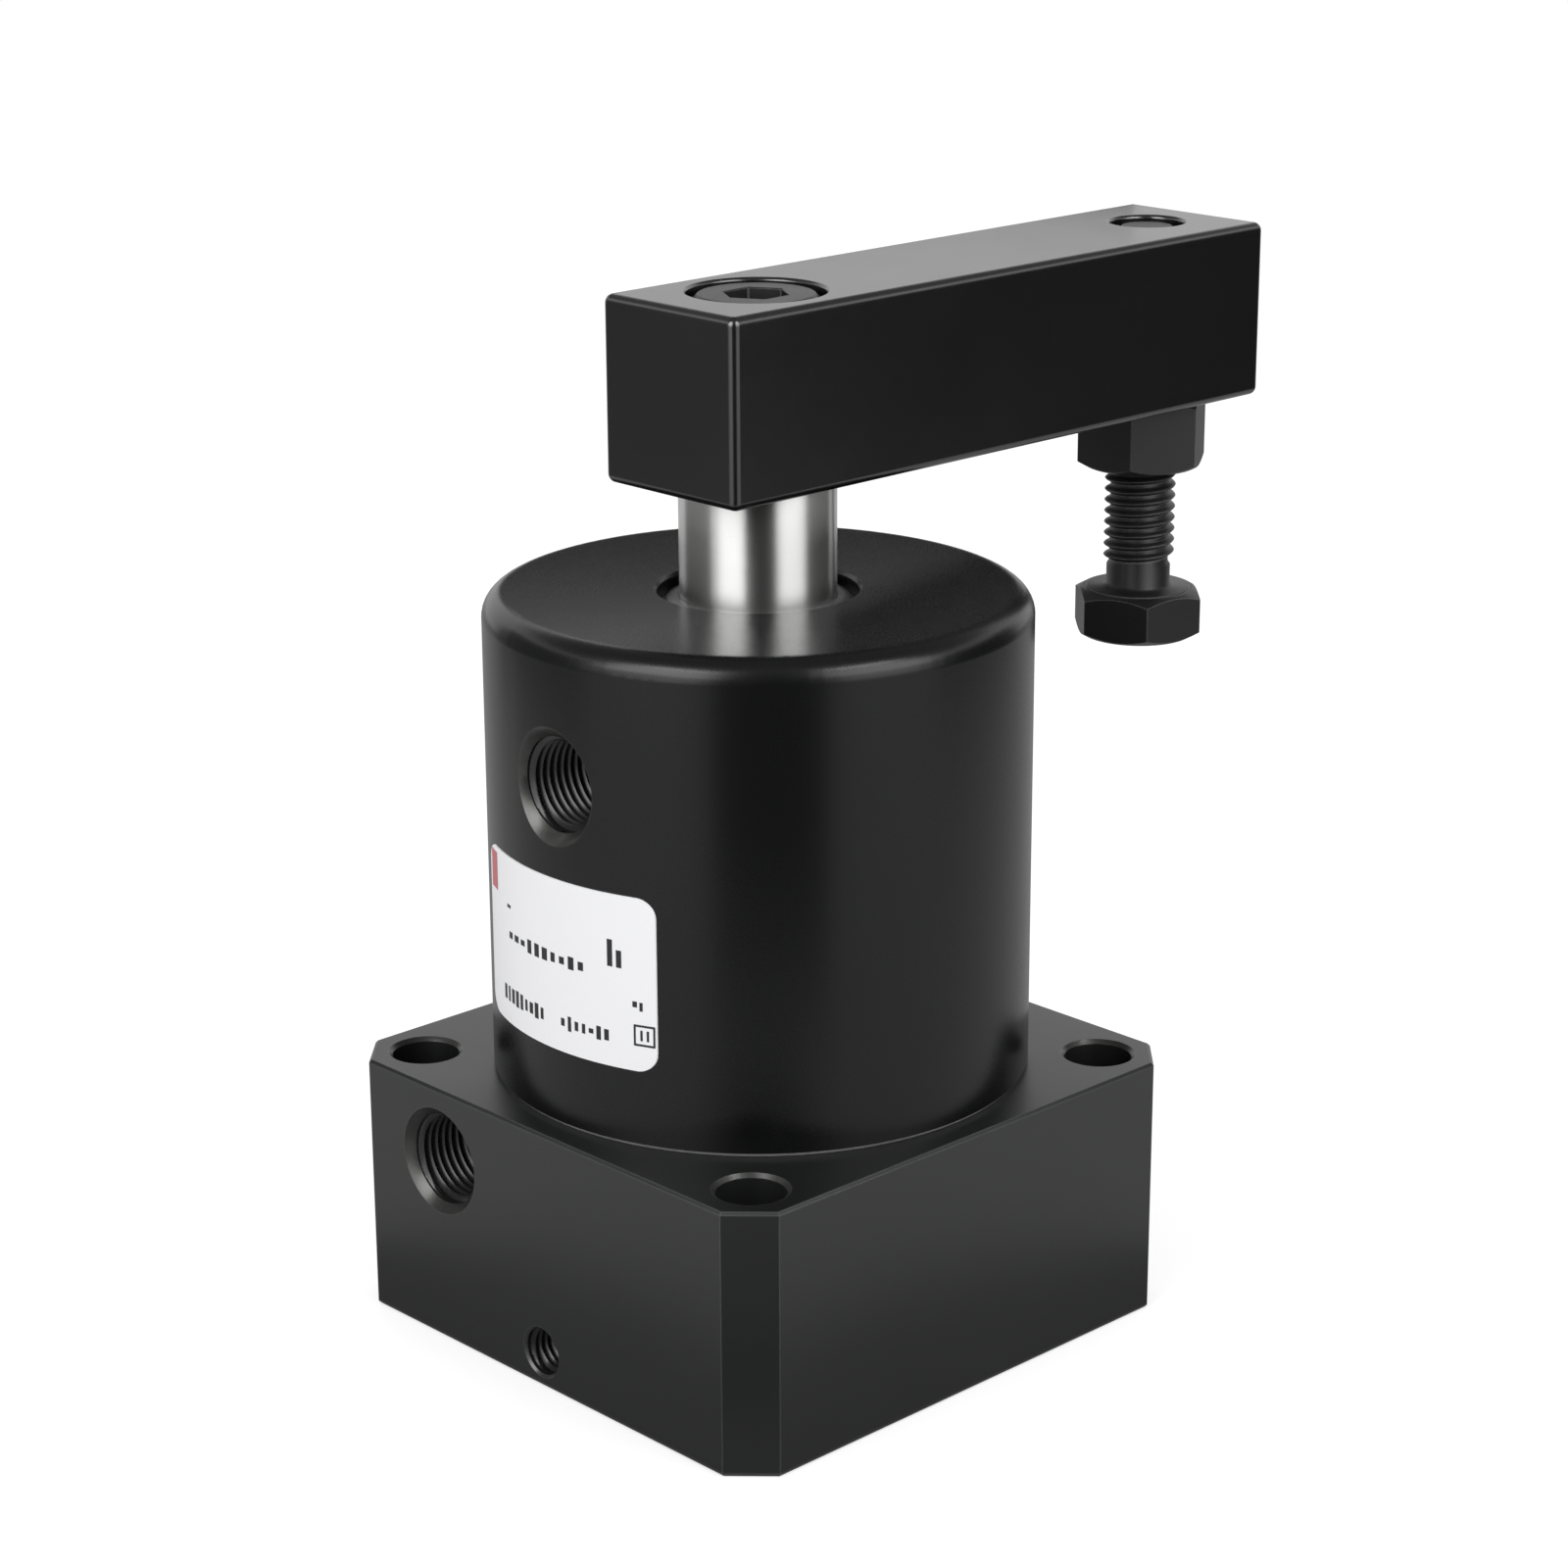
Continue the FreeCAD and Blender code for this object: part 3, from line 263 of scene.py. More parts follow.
def worn_and_highlit_edges(tree, surface, noise, edge_rub_and_highlight, reach):
    """Lighter, broken line along sharp edges: partly finish worn off, partly a painted highlight on the
    edges.
    """
    soft = look_node(tree, "ShaderNodeBevel", samples=4)
    soft.inputs["Radius"].default_value = reach
    plain = look_node(tree, "ShaderNodeNewGeometry")
    facing = look_node(tree, "ShaderNodeVectorMath", operation="DOT_PRODUCT")
    tree.links.new(soft.outputs["Normal"], facing.inputs[0])
    tree.links.new(plain.outputs["Normal"], facing.inputs[1])
    nearly_flat, edge_middle = 0.985, 0.90
    edge = look_node(tree, "ShaderNodeMapRange")
    edge.inputs["From Min"].default_value = nearly_flat
    edge.inputs["From Max"].default_value = edge_middle
    edge.inputs["To Max"].default_value = edge_rub_and_highlight
    tree.links.new(facing.outputs["Value"], edge.inputs["Value"])
    broken = reckon(tree, "MULTIPLY", edge.outputs["Result"], noise)
    mixed = look_node(tree, "ShaderNodeMix", data_type="RGBA")
    tree.links.new(broken, mixed.inputs["Factor"])
    tree.links.new(surface, mixed.inputs["A"])
    mixed.inputs["B"].default_value = WORN_METAL_AND_HIGHLIGHT
    return mixed.outputs["Result"]


def paint(piece, material):
    """Give an object one material, on the object itself."""
    if not piece.material_slots:
        piece.data.materials.append(material)
    for place in piece.material_slots:
        place.link = "OBJECT"
        place.material = material


def linked(name, data):
    """New object in the scene."""
    made = bpy.data.objects.new(name, data)
    bpy.context.scene.collection.objects.link(made)
    return made


def as_mesh(shape, name):
    """Turn a finished bmesh into a mesh."""
    mesh = bpy.data.meshes.new(name)
    shape.to_mesh(mesh)
    shape.free()
    return mesh


def new_piece(name, mesh, material, body):
    """Link a finished mesh as a piece that rides on a body."""
    piece = linked(name, mesh)
    mesh.materials.clear()
    mesh.materials.append(material)
    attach(piece, body)
    return piece


def smooth_by_angle(mesh, angle=SHARP_ANGLE):
    """Round shading with sharp edges kept."""
    for face in mesh.polygons:
        face.use_smooth = True
    mesh.set_sharp_from_angle(angle=angle)


def merged_copy(node, keep_below=None):
    """The node's mesh with its loose triangles joined, cut off at a height where asked."""
    shape = bmesh.new()
    shape.from_mesh(frame["nodes"][node].data)
    bmesh.ops.remove_doubles(shape, verts=shape.verts, dist=MERGE)
    if keep_below is not None:
        everything = shape.verts[:] + shape.edges[:] + shape.faces[:]
        cut = bmesh.ops.bisect_plane(shape, geom=everything, plane_co=(0, 0, keep_below), plane_no=UP,
                                     clear_outer=True)
        rim = [part for part in cut["geom_cut"] if isinstance(part, bmesh.types.BMEdge)]
        bmesh.ops.holes_fill(shape, edges=rim)
    bmesh.ops.dissolve_limit(shape, angle_limit=FLAT_ANGLE, verts=shape.verts, edges=shape.edges)
    mesh = as_mesh(shape, node + "_dressed")
    smooth_by_angle(mesh)
    return mesh


def refinish(piece, look, rings):
    """Give another finish to the faces inside rings, each (centre, axis, inner, outer, start, end)."""
    mesh = piece.data
    mesh.materials.append(look)
    for face in mesh.polygons:
        for centre, axis, inner, outer, start, end in rings:
            reach = face.center - centre
            along = reach.dot(axis)
            if start < along < end and inner < (reach - axis * along).length < outer:
                face.material_index = len(mesh.materials) - 1


def ease_edges(piece, width):
    """Break the sharp edges and keep the flats flat."""
    bevel = piece.modifiers.new("Broken edges", "BEVEL")
    bevel.width = width
    bevel.segments = 2
    bevel.limit_method = "ANGLE"
    bevel.angle_limit = SHARP_ANGLE
    even = piece.modifiers.new("Even shading", "WEIGHTED_NORMAL")
    even.keep_sharp = True


def turned_mesh(name, profile, centre, steps=96):
    """Closed solid of revolution about a vertical axis; the profile lists (radius, height)."""
    shape = bmesh.new()
    verts = [shape.verts.new((radius, 0, height)) for radius, height in profile]
    edges = [shape.edges.new(pair) for pair in zip(verts, verts[1:])]
    bmesh.ops.spin(shape, geom=verts + edges, cent=(0, 0, 0), axis=(0, 0, 1), angle=WHOLE_TURN,
                   steps=steps, use_merge=True)
    bmesh.ops.remove_doubles(shape, verts=shape.verts, dist=MERGE)
    bmesh.ops.recalc_face_normals(shape, faces=shape.faces)
    bmesh.ops.translate(shape, verts=shape.verts, vec=centre)
    mesh = as_mesh(shape, name)
    smooth_by_angle(mesh)
    return mesh


def joined(name, meshes):
    """One mesh holding several closed shells."""
    shape = bmesh.new()
    for mesh in meshes:
        shape.from_mesh(mesh)
    result = as_mesh(shape, name)
    smooth_by_angle(result)
    return result


def node_tree(name, inputs):
    """Geometry tree with named inputs; returns the tree, its inputs and its output node."""
    tree = bpy.data.node_groups.new(name, "GeometryNodeTree")
    tree.interface.new_socket(name="Geometry", in_out="OUTPUT", socket_type="NodeSocketGeometry")
    for label, kind in inputs:
        tree.interface.new_socket(name=label, in_out="INPUT", socket_type="NodeSocket" + kind)
    entry = look_node(tree, "NodeGroupInput")
    leave = look_node(tree, "NodeGroupOutput")
    return tree, entry.outputs, leave


def end_tree(tree, geometry, material, leave):
    """Last nodes of every tree: real geometry, then its material."""
    real = look_node(tree, "GeometryNodeRealizeInstances")
    coat = look_node(tree, "GeometryNodeSetMaterial")
    tree.links.new(geometry, real.inputs["Geometry"])
    tree.links.new(real.outputs["Geometry"], coat.inputs["Geometry"])
    tree.links.new(material, coat.inputs["Material"])
    tree.links.new(coat.outputs["Geometry"], leave.inputs["Geometry"])


def grown(tree, values):
    """Run a geometry tree with the given inputs and return its result as a plain mesh."""
    carrier = linked(tree.name, bpy.data.meshes.new(tree.name))
    modifier = carrier.modifiers.new(tree.name, "NODES")
    modifier.node_group = tree
    for socket in tree.interface.items_tree:
        if socket.item_type == "SOCKET" and socket.in_out == "INPUT":
            modifier[socket.identifier] = values[socket.name]
    bpy.context.view_layer.update()
    evaluated = carrier.evaluated_get(bpy.context.evaluated_depsgraph_get())
    mesh = bpy.data.meshes.new_from_object(evaluated)
    carrier.modifiers.clear()
    bpy.data.objects.remove(carrier)
    return mesh


def thread_tree():
    """Ribbon one pitch wide, wound up the Z axis and folded into a thread's crest and root."""
    tree, given, leave = node_tree("Thread", [("Radius", "Float"), ("Pitch", "Float"), ("Turns", "Float"),
                                              ("Depth", "Float"), ("Steps", "Int"), ("Finish", "Material")])
    rows, flank_slope, root_share, run_out_rate = 9, 1.6, 0.4, 5.0
    sheet = look_node(tree, "GeometryNodeMeshGrid")
    sheet.inputs["Size X"].default_value = 1.0
    sheet.inputs["Size Y"].default_value = 1.0
    sheet.inputs["Vertices Y"].default_value = rows
    count = reckon(tree, "MULTIPLY", given["Turns"], given["Steps"])
    tree.links.new(reckon(tree, "ADD", count, 1), sheet.inputs["Vertices X"])
    spot = look_node(tree, "GeometryNodeInputPosition")
    parts = look_node(tree, "ShaderNodeSeparateXYZ")
    tree.links.new(spot.outputs["Position"], parts.inputs["Vector"])
    along = reckon(tree, "ADD", parts.outputs["X"], 0.5)
    across = reckon(tree, "ABSOLUTE", parts.outputs["Y"])
    wave = reckon(tree, "SUBTRACT", 1.0, reckon(tree, "MULTIPLY", across, 2.0))
    crest = reckon(tree, "SUBTRACT", reckon(tree, "MULTIPLY", wave, flank_slope), root_share,
                   clamp=True)
    turns = reckon(tree, "MULTIPLY", along, given["Turns"])
    left = reckon(tree, "SUBTRACT", given["Turns"], turns)
    fade = reckon(tree, "MULTIPLY", reckon(tree, "MINIMUM", turns, left), run_out_rate, clamp=True)
    lift = reckon(tree, "MULTIPLY", reckon(tree, "MULTIPLY", crest, fade), given["Depth"])
    radius = reckon(tree, "ADD", given["Radius"], lift)
    angle = reckon(tree, "MULTIPLY", turns, WHOLE_TURN)
    climb = reckon(tree, "MULTIPLY", reckon(tree, "ADD", turns, parts.outputs["Y"]), given["Pitch"])
    bent = look_node(tree, "ShaderNodeCombineXYZ")
    tree.links.new(reckon(tree, "MULTIPLY", radius, reckon(tree, "COSINE", angle)), bent.inputs["X"])
    tree.links.new(reckon(tree, "MULTIPLY", radius, reckon(tree, "SINE", angle)), bent.inputs["Y"])
    tree.links.new(climb, bent.inputs["Z"])
    wound = look_node(tree, "GeometryNodeSetPosition")
    tree.links.new(sheet.outputs["Mesh"], wound.inputs["Geometry"])
    tree.links.new(bent.outputs["Vector"], wound.inputs["Position"])
    weld = look_node(tree, "GeometryNodeMergeByDistance")
    weld.inputs["Distance"].default_value = MERGE
    tree.links.new(wound.outputs["Geometry"], weld.inputs["Geometry"])
    end_tree(tree, weld.outputs["Geometry"], given["Finish"], leave)
    return tree


def knurl_tree():
    """Small upright ridges spaced round a circle."""
    tree, given, leave = node_tree("Knurl", [("Count", "Int"), ("Radius", "Float"), ("Size", "Vector"),
                                             ("Height", "Float"), ("Finish", "Material")])
    hoop = look_node(tree, "GeometryNodeMeshCircle")
    tree.links.new(given["Count"], hoop.inputs["Vertices"])
    tree.links.new(given["Radius"], hoop.inputs["Radius"])
    ridge = look_node(tree, "GeometryNodeMeshCube")
    tree.links.new(given["Size"], ridge.inputs["Size"])
    spot = look_node(tree, "GeometryNodeInputPosition")
    facing = look_node(tree, "FunctionNodeAlignRotationToVector", axis="X")
    tree.links.new(spot.outputs["Position"], facing.inputs["Vector"])
    spread = look_node(tree, "GeometryNodeInstanceOnPoints")
    tree.links.new(hoop.outputs["Mesh"], spread.inputs["Points"])
    tree.links.new(ridge.outputs["Mesh"], spread.inputs["Instance"])
    tree.links.new(facing.outputs["Rotation"], spread.inputs["Rotation"])
    raised = look_node(tree, "GeometryNodeTransform")
    lift = look_node(tree, "ShaderNodeCombineXYZ")
    tree.links.new(given["Height"], lift.inputs["Z"])
    tree.links.new(lift.outputs["Vector"], raised.inputs["Translation"])
    tree.links.new(spread.outputs["Instances"], raised.inputs["Geometry"])
    end_tree(tree, raised.outputs["Geometry"], given["Finish"], leave)
    return tree


def print_tree():
    """Row of small blocks of uneven size, wrapped round the Z axis."""
    tree, given, leave = node_tree("Printed row", [("Count", "Int"), ("Spacing", "Float"),
                                                   ("Smallest", "Vector"), ("Largest", "Vector"),
                                                   ("Radius", "Float"), ("First Angle", "Float"),
                                                   ("Height", "Float"), ("Seed", "Int"),
                                                   ("Finish", "Material")])
    row = look_node(tree, "GeometryNodeMeshLine")
    step = look_node(tree, "ShaderNodeCombineXYZ")
    tree.links.new(given["Spacing"], step.inputs["Y"])
    tree.links.new(given["Count"], row.inputs["Count"])
    tree.links.new(step.outputs["Vector"], row.inputs["Offset"])
    chance = look_node(tree, "FunctionNodeRandomValue", data_type="FLOAT_VECTOR")
    tree.links.new(given["Smallest"], chance.inputs["Min"])
    tree.links.new(given["Largest"], chance.inputs["Max"])
    tree.links.new(given["Seed"], chance.inputs["Seed"])
    block = look_node(tree, "GeometryNodeMeshCube")
    block.inputs["Size"].default_value = (1.0, 1.0, 1.0)
    spread = look_node(tree, "GeometryNodeInstanceOnPoints")
    tree.links.new(row.outputs["Mesh"], spread.inputs["Points"])
    tree.links.new(block.outputs["Mesh"], spread.inputs["Instance"])
    tree.links.new(chance.outputs["Value"], spread.inputs["Scale"])
    real = look_node(tree, "GeometryNodeRealizeInstances")
    tree.links.new(spread.outputs["Instances"], real.inputs["Geometry"])
    spot = look_node(tree, "GeometryNodeInputPosition")
    parts = look_node(tree, "ShaderNodeSeparateXYZ")
    tree.links.new(spot.outputs["Position"], parts.inputs["Vector"])
    radius = reckon(tree, "ADD", given["Radius"], parts.outputs["X"])
    angle = reckon(tree, "ADD", given["First Angle"],
                   reckon(tree, "DIVIDE", parts.outputs["Y"], given["Radius"]))
    bent = look_node(tree, "ShaderNodeCombineXYZ")
    tree.links.new(reckon(tree, "MULTIPLY", radius, reckon(tree, "COSINE", angle)), bent.inputs["X"])
    tree.links.new(reckon(tree, "MULTIPLY", radius, reckon(tree, "SINE", angle)), bent.inputs["Y"])
    tree.links.new(reckon(tree, "ADD", given["Height"], parts.outputs["Z"]), bent.inputs["Z"])
    wrapped = look_node(tree, "GeometryNodeSetPosition")
    tree.links.new(real.outputs["Geometry"], wrapped.inputs["Geometry"])
    tree.links.new(bent.outputs["Vector"], wrapped.inputs["Position"])
    end_tree(tree, wrapped.outputs["Geometry"], given["Finish"], leave)
    return tree


def material_named(name):
    """A finish made earlier."""
    return bpy.data.materials[name]


def thickened(mesh, thickness):
    """Give a thread ribbon a closed wall; a positive thickness grows away from the axis."""
    shape = bmesh.new()
    shape.from_mesh(mesh)
    bmesh.ops.recalc_face_normals(shape, faces=shape.faces)
    middle = shape.faces[:][len(shape.faces) // 2]
    radial = middle.calc_center_median()
    radial.z = 0
    outward = middle.normal.dot(radial) > 0
    reach = -thickness if outward else thickness
    bmesh.ops.solidify(shape, geom=shape.faces[:], thickness=reach)
    bmesh.ops.recalc_face_normals(shape, faces=shape.faces)
    result = as_mesh(shape, mesh.name)
    smooth_by_angle(result, THREAD_SHARP_ANGLE)
    return result


class CLAMP_OT_finishes(bpy.types.Operator):
    """Make every finish of the clamp cylinder"""
    bl_idname = "clamp.finishes"
    bl_label = "Make the finishes"

    def execute(self, context):
        shades = context.scene.clamp_colours
        # The edge amounts paint sharp edges lighter: partly worn finish, partly painted highlight
        finish("Foot anodising", shades.foot, roughness=0.36, specular=0.75, grain=0.16 * MM,
               depth=0.006 * MM, tone=0.3, edge_rub_and_highlight=0.35)
        finish("Barrel anodising", shades.barrel, roughness=0.27, specular=0.38, grain=0.12 * MM,
               depth=0.0016 * MM, spread=0.03, edge_rub_and_highlight=0.2)
        finish("Arm black", shades.arm, roughness=0.24, grain=0.2 * MM, depth=0.001 * MM,
               stretch=(1, 1, 0.2), spread=0.05, edge_rub_and_highlight=0.4, edge_rub_and_highlight_reach=0.3 * MM, ior=1.85)
        finish("Ground chrome", shades.chrome, metallic=1.0, roughness=0.3, grain=0.1 * MM,
               depth=0.0012 * MM, stretch=(0.05, 0.05, 1), tone=0.06, spread=0.03, anisotropy=0.85)
        finish("Black oxide", shades.oxide, roughness=0.42, specular=0.38, grain=0.3 * MM,
               depth=0.004 * MM, tone=0.5, spread=0.12, edge_rub_and_highlight=0.4)
        finish("Worn oxide", shades.handled, metallic=0.7, roughness=0.34, grain=0.6 * MM,
               depth=0.012 * MM, tone=0.85, spread=0.16, edge_rub_and_highlight=0.9, edge_rub_and_highlight_reach=0.35 * MM)
        finish("Cut thread", shades.rubber, roughness=0.28, specular=0.5, grain=0.2 * MM,
               depth=0.002 * MM)
        finish("Cut edge", shades.cut_edge, metallic=0.7, roughness=0.3, grain=0.3 * MM,
               depth=0.003 * MM, tone=0.4)
        # Light line at the barrel's foot: partly bare metal, partly painted highlight
        finish("Bare foot line and highlight", shades.foot_line_and_highlight, roughness=0.5, grain=0.9 * MM, tone=0.5)
        finish("Turned aluminium", shades.bare, metallic=1.0, roughness=0.34, grain=0.12 * MM,
               depth=0.002 * MM, stretch=(0.05, 0.05, 1), tone=0.1)
        finish("Ground steel", shades.bare, metallic=1.0, roughness=0.24, grain=0.1 * MM,
               depth=0.001 * MM, stretch=(0.05, 0.05, 1), tone=0.08)
        finish("Bush bronze", shades.bronze, metallic=1.0, roughness=0.36, grain=0.15 * MM,
               depth=0.002 * MM, stretch=(0.05, 0.05, 1))
        finish("Seal rubber", shades.rubber, roughness=0.5, specular=0.45, grain=0.25 * MM,
               depth=0.004 * MM)
        finish("Wiper rubber", shades.lip, roughness=0.3, specular=0.8, grain=0.25 * MM)
        finish("Wear plastic", shades.plastic, roughness=0.45, grain=0.3 * MM)
        finish("Label film", shades.film, roughness=0.3, grain=0.5 * MM, depth=0.0006 * MM, tone=0.015)
        finish("Label ink", shades.ink, roughness=0.4, grain=0.1 * MM, depth=0.0003 * MM)
        finish("Label accent", shades.accent, roughness=0.4, grain=0.1 * MM, depth=0.0003 * MM, tone=0.05)
        return {"FINISHED"}


class CLAMP_OT_inner_pieces(bpy.types.Operator):
    """Finish the pieces that keep the model's own mesh"""
    bl_idname = "clamp.inner_pieces"
    bl_label = "Finish the inner pieces"

    looks = {
        "Seal rubber": ("end_cap_seal", "barrel_seal", "cap_bumper", "head_bumper", "rod_seal",
                        "piston_seal", "piston_rod_seal"),
        "Turned aluminium": ("piston",),
        "Ground steel": ("guide_shaft", "guide_shaft_dowel", "guide_pins"),
        "Black oxide": ("cap_lock_screw", "guide_shaft_screw", "piston_retaining_ring"),
        "Bush bronze": ("guide_bush",),
        "Wear plastic": ("wear_ring",),
        "Label film": ("rating_label",),
    }

    def execute(self, context):
        for look, nodes in self.looks.items():
            for node in nodes:
                paint(frame["nodes"][node], material_named(look))
        return {"FINISHED"}


class CLAMP_OT_outer_pieces(bpy.types.Operator):
    """Dress the foot, barrel, rod, arm, nut, wiper and end cap with broken edges"""
    bl_idname = "clamp.outer_pieces"
    bl_label = "Dress the outer pieces"

    pieces = (
        ("base_block", "foot_block", "Foot anodising", "housing", "black_anodised", 0.1 * MM),
        ("barrel", "barrel_shell", "Barrel anodising", "housing", "black_anodised", 0.08 * MM),
        ("end_cap", "end_cap_disc", "Turned aluminium", "housing", "bare_aluminium", 0.06 * MM),
        ("rod_wiper", "wiper_ring", "Wiper rubber", "housing", "black_rubber", 0.05 * MM),
        ("piston_rod", "polished_rod", "Ground chrome", "rod", "hard_chrome", 0.0),
        ("clamp_arm", "arm_bar", "Arm black", "rod", "black_arm_steel", 0.1 * MM),
        ("locknut", "hexagon_nut", "Black oxide", "rod", "black_oxide", 0.1 * MM),
    )

    def execute(self, context):
        for node, name, look, body, slot, width in self.pieces:
            piece = new_piece(name, merged_copy(node), material_named(look), body)
            for other, rings in self.rings(context.scene.clamp_threads).get(node, {}).items():
                refinish(piece, material_named(other), rings)
            if width:
                ease_edges(piece, width)
            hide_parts(node)
        return {"FINISHED"}

    @staticmethod
    def rings(threads):
        """Countersinks of each node, and the line at the barrel's foot that is partly bare metal, partly
        painted highlight, as refinish takes them.
        """
        inside = 0.015 * MM
        lock_inside = 0.02 * MM
        foot_mouth_r, foot_mouth_depth = 5.8 * MM, 0.88 * MM
        barrel_mouth_r, barrel_mouth_depth = 6.1 * MM, 1.17 * MM
        lock_mouth_r, lock_mouth_depth = 2.8 * MM, 0.24 * MM
        hole_mouth_r, hole_mouth_depth = 3.95 * MM, 0.39 * MM
        # Band at the barrel's foot painted lighter: partly bare metal, partly painted highlight
        foot_line_width, foot_line_low, foot_line_high = 0.4 * MM, 0.02 * MM, 0.38 * MM
        port, lengths = mount("cap_port")
        port_r = lengths["r_mm"] + inside
        foot = [(Vector((FOOT_LOW.x, port.y, port.z)), INWARD, port_r, foot_mouth_r,
                 -MM, foot_mouth_depth),
                (Vector((FOOT_LOW.x, 0, threads.lock_height)), INWARD, threads.lock_radius + lock_inside,
                 lock_mouth_r, -MM, lock_mouth_depth)]
        lengths = mount("mounting_holes")[1]
        half_x, half_y = lengths["spacing_x_mm"] / 2, lengths["spacing_y_mm"] / 2
        for x in (-half_x, half_x):
            for y in (-half_y, half_y):
                foot.append((Vector((x, y, FOOT_HIGH.z)), UP, lengths["hole_r_mm"] + inside,
                             hole_mouth_r, -hole_mouth_depth, MM))
        upper_port = Vector((-BARREL_R, 0, mount("rod_port")[0].z))
        barrel_foot = Vector((0, 0, FOOT_HIGH.z))
        return {
            "base_block": {"Cut edge": foot},
            "barrel": {"Cut edge": [(upper_port, INWARD, port_r, barrel_mouth_r, -MM, barrel_mouth_depth)],
                       "Bare foot line and highlight": [(barrel_foot, UP, BARREL_R - foot_line_width, BARREL_R,
                                      foot_line_low, foot_line_high)]},
        }


class CLAMP_OT_port_threads(bpy.types.Operator):
    """Cut the threads of both air ports and of the lock screw's hole"""
    bl_idname = "clamp.port_threads"
    bl_label = "Cut the port threads"

    def execute(self, context):
        sizes = context.scene.clamp_threads
        foot_face = FOOT_LOW.x
        steps_a_turn = 64
        fewer_turns, later_start, wall = 0.7, 0.3 * MM, 0.1 * MM
        holes = (
            ("foot_port_thread", mount("cap_port")[0], foot_face, sizes.port_radius, sizes.port_pitch,
             sizes.port_depth, sizes.port_turns - fewer_turns, sizes.port_start),
            ("barrel_port_thread", mount("rod_port")[0], -BARREL_R, sizes.port_radius, sizes.port_pitch,
             sizes.port_depth, sizes.port_turns, sizes.port_start + later_start),
            ("lock_hole_thread", Vector((0, 0, sizes.lock_height)), foot_face, sizes.lock_radius,
             sizes.lock_pitch, sizes.lock_depth, sizes.lock_turns, sizes.lock_pitch / 2),
        )
        tree = thread_tree()
        look = material_named("Cut thread")
        for name, axis, face, radius, pitch, depth, turns, start in holes:
            ribbon = grown(tree, {"Radius": radius, "Pitch": pitch, "Turns": turns, "Depth": -depth,
                                  "Steps": steps_a_turn, "Finish": look})
            mesh = thickened(ribbon, wall)
            mesh.transform(Matrix.Rotation(math.pi / 2, 4, "Y"))
            mesh.transform(Matrix.Translation((face + start + pitch / 2, axis.y, axis.z)))
            mesh.name = name
            new_piece(name, mesh, look, "housing")
        return {"FINISHED"}


class CLAMP_OT_clamp_bolt(bpy.types.Operator):
    """Make the clamp bolt with its real thread"""
    bl_idname = "clamp.clamp_bolt"
    bl_label = "Make the clamp bolt"

    def execute(self, context):
        sizes = context.scene.clamp_threads
        seat = BOLT_LOW.z + sizes.bolt_head
        root, shank = sizes.bolt_root, sizes.bolt_shank_radius
        tip = sizes.bolt_pitch * 0.6
        shank_end = seat + sizes.bolt_shank
        steps_a_turn, wall = 48, 0.15 * MM
        collar, collar_rim, collar_bevel = 5.75 * MM, 0.12 * MM, 0.15 * MM
        collar_top = seat + 0.2 * MM
        fillet, fillet_top, run_out, tip_flat = 0.35 * MM, seat + 0.6 * MM, 0.4 * MM, 0.2 * MM
        head_overlap = 0.05 * MM
        head = merged_copy("clamp_bolt", keep_below=seat + head_overlap)
        for face in head.polygons:
            face.material_index = 1
        core = turned_mesh("bolt_core", [
            (0, seat - MM), (collar, seat - MM), (collar, seat + collar_rim),
            (collar - collar_bevel, collar_top), (shank + fillet, collar_top), (shank, fillet_top),
            (shank, shank_end), (root, shank_end + run_out), (root, BOLT_HIGH.z - tip),
            (root - tip + tip_flat, BOLT_HIGH.z), (0, BOLT_HIGH.z)], BOLT_AXIS)
        # The thread's ribbon is one pitch wide, so its last turn ends where the tip's chamfer starts
        turns = (BOLT_HIGH.z - tip - shank_end) / sizes.bolt_pitch - 1
        look = material_named("Black oxide")
        ribbon = grown(thread_tree(), {"Radius": root, "Pitch": sizes.bolt_pitch, "Turns": turns,
                                       "Depth": sizes.bolt_depth, "Steps": steps_a_turn, "Finish": look})
        thread = thickened(ribbon, -wall)
        thread.transform(Matrix.Translation(BOLT_AXIS + UP * (shank_end + sizes.bolt_pitch / 2)))
        bolt = new_piece("threaded_clamp_bolt", joined("threaded_clamp_bolt", [head, core, thread]), look,
                         "clamp_bolt")
        bolt.data.materials.append(material_named("Worn oxide"))
        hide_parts("clamp_bolt")
        return {"FINISHED"}


class CLAMP_OT_arm_screw(bpy.types.Operator):
    """Make the socket head screw with its knurled head"""
    bl_idname = "clamp.arm_screw"
    bl_label = "Make the arm screw"

    def execute(self, context):
        sizes = context.scene.clamp_threads
        look = material_named("Black oxide")
        screw = new_piece("knurled_arm_screw", merged_copy("arm_screw"), look, "rod")
        ease_edges(screw, 0.12 * MM)
        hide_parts("arm_screw")
        head_height = 8.0 * MM
        plain_foot = 0.5 * MM
        ridge_height = head_height * 0.75
        size = (2 * sizes.knurl_depth, sizes.knurl_width, ridge_height)
        middle = SCREW_HIGH.z - head_height + plain_foot + ridge_height / 2
        ridges = grown(knurl_tree(), {"Count": sizes.knurl_count, "Radius": SCREW_HIGH.x, "Size": size,
                                      "Height": middle, "Finish": look})
        new_piece("arm_screw_knurl", ridges, look, "rod")
        return {"FINISHED"}


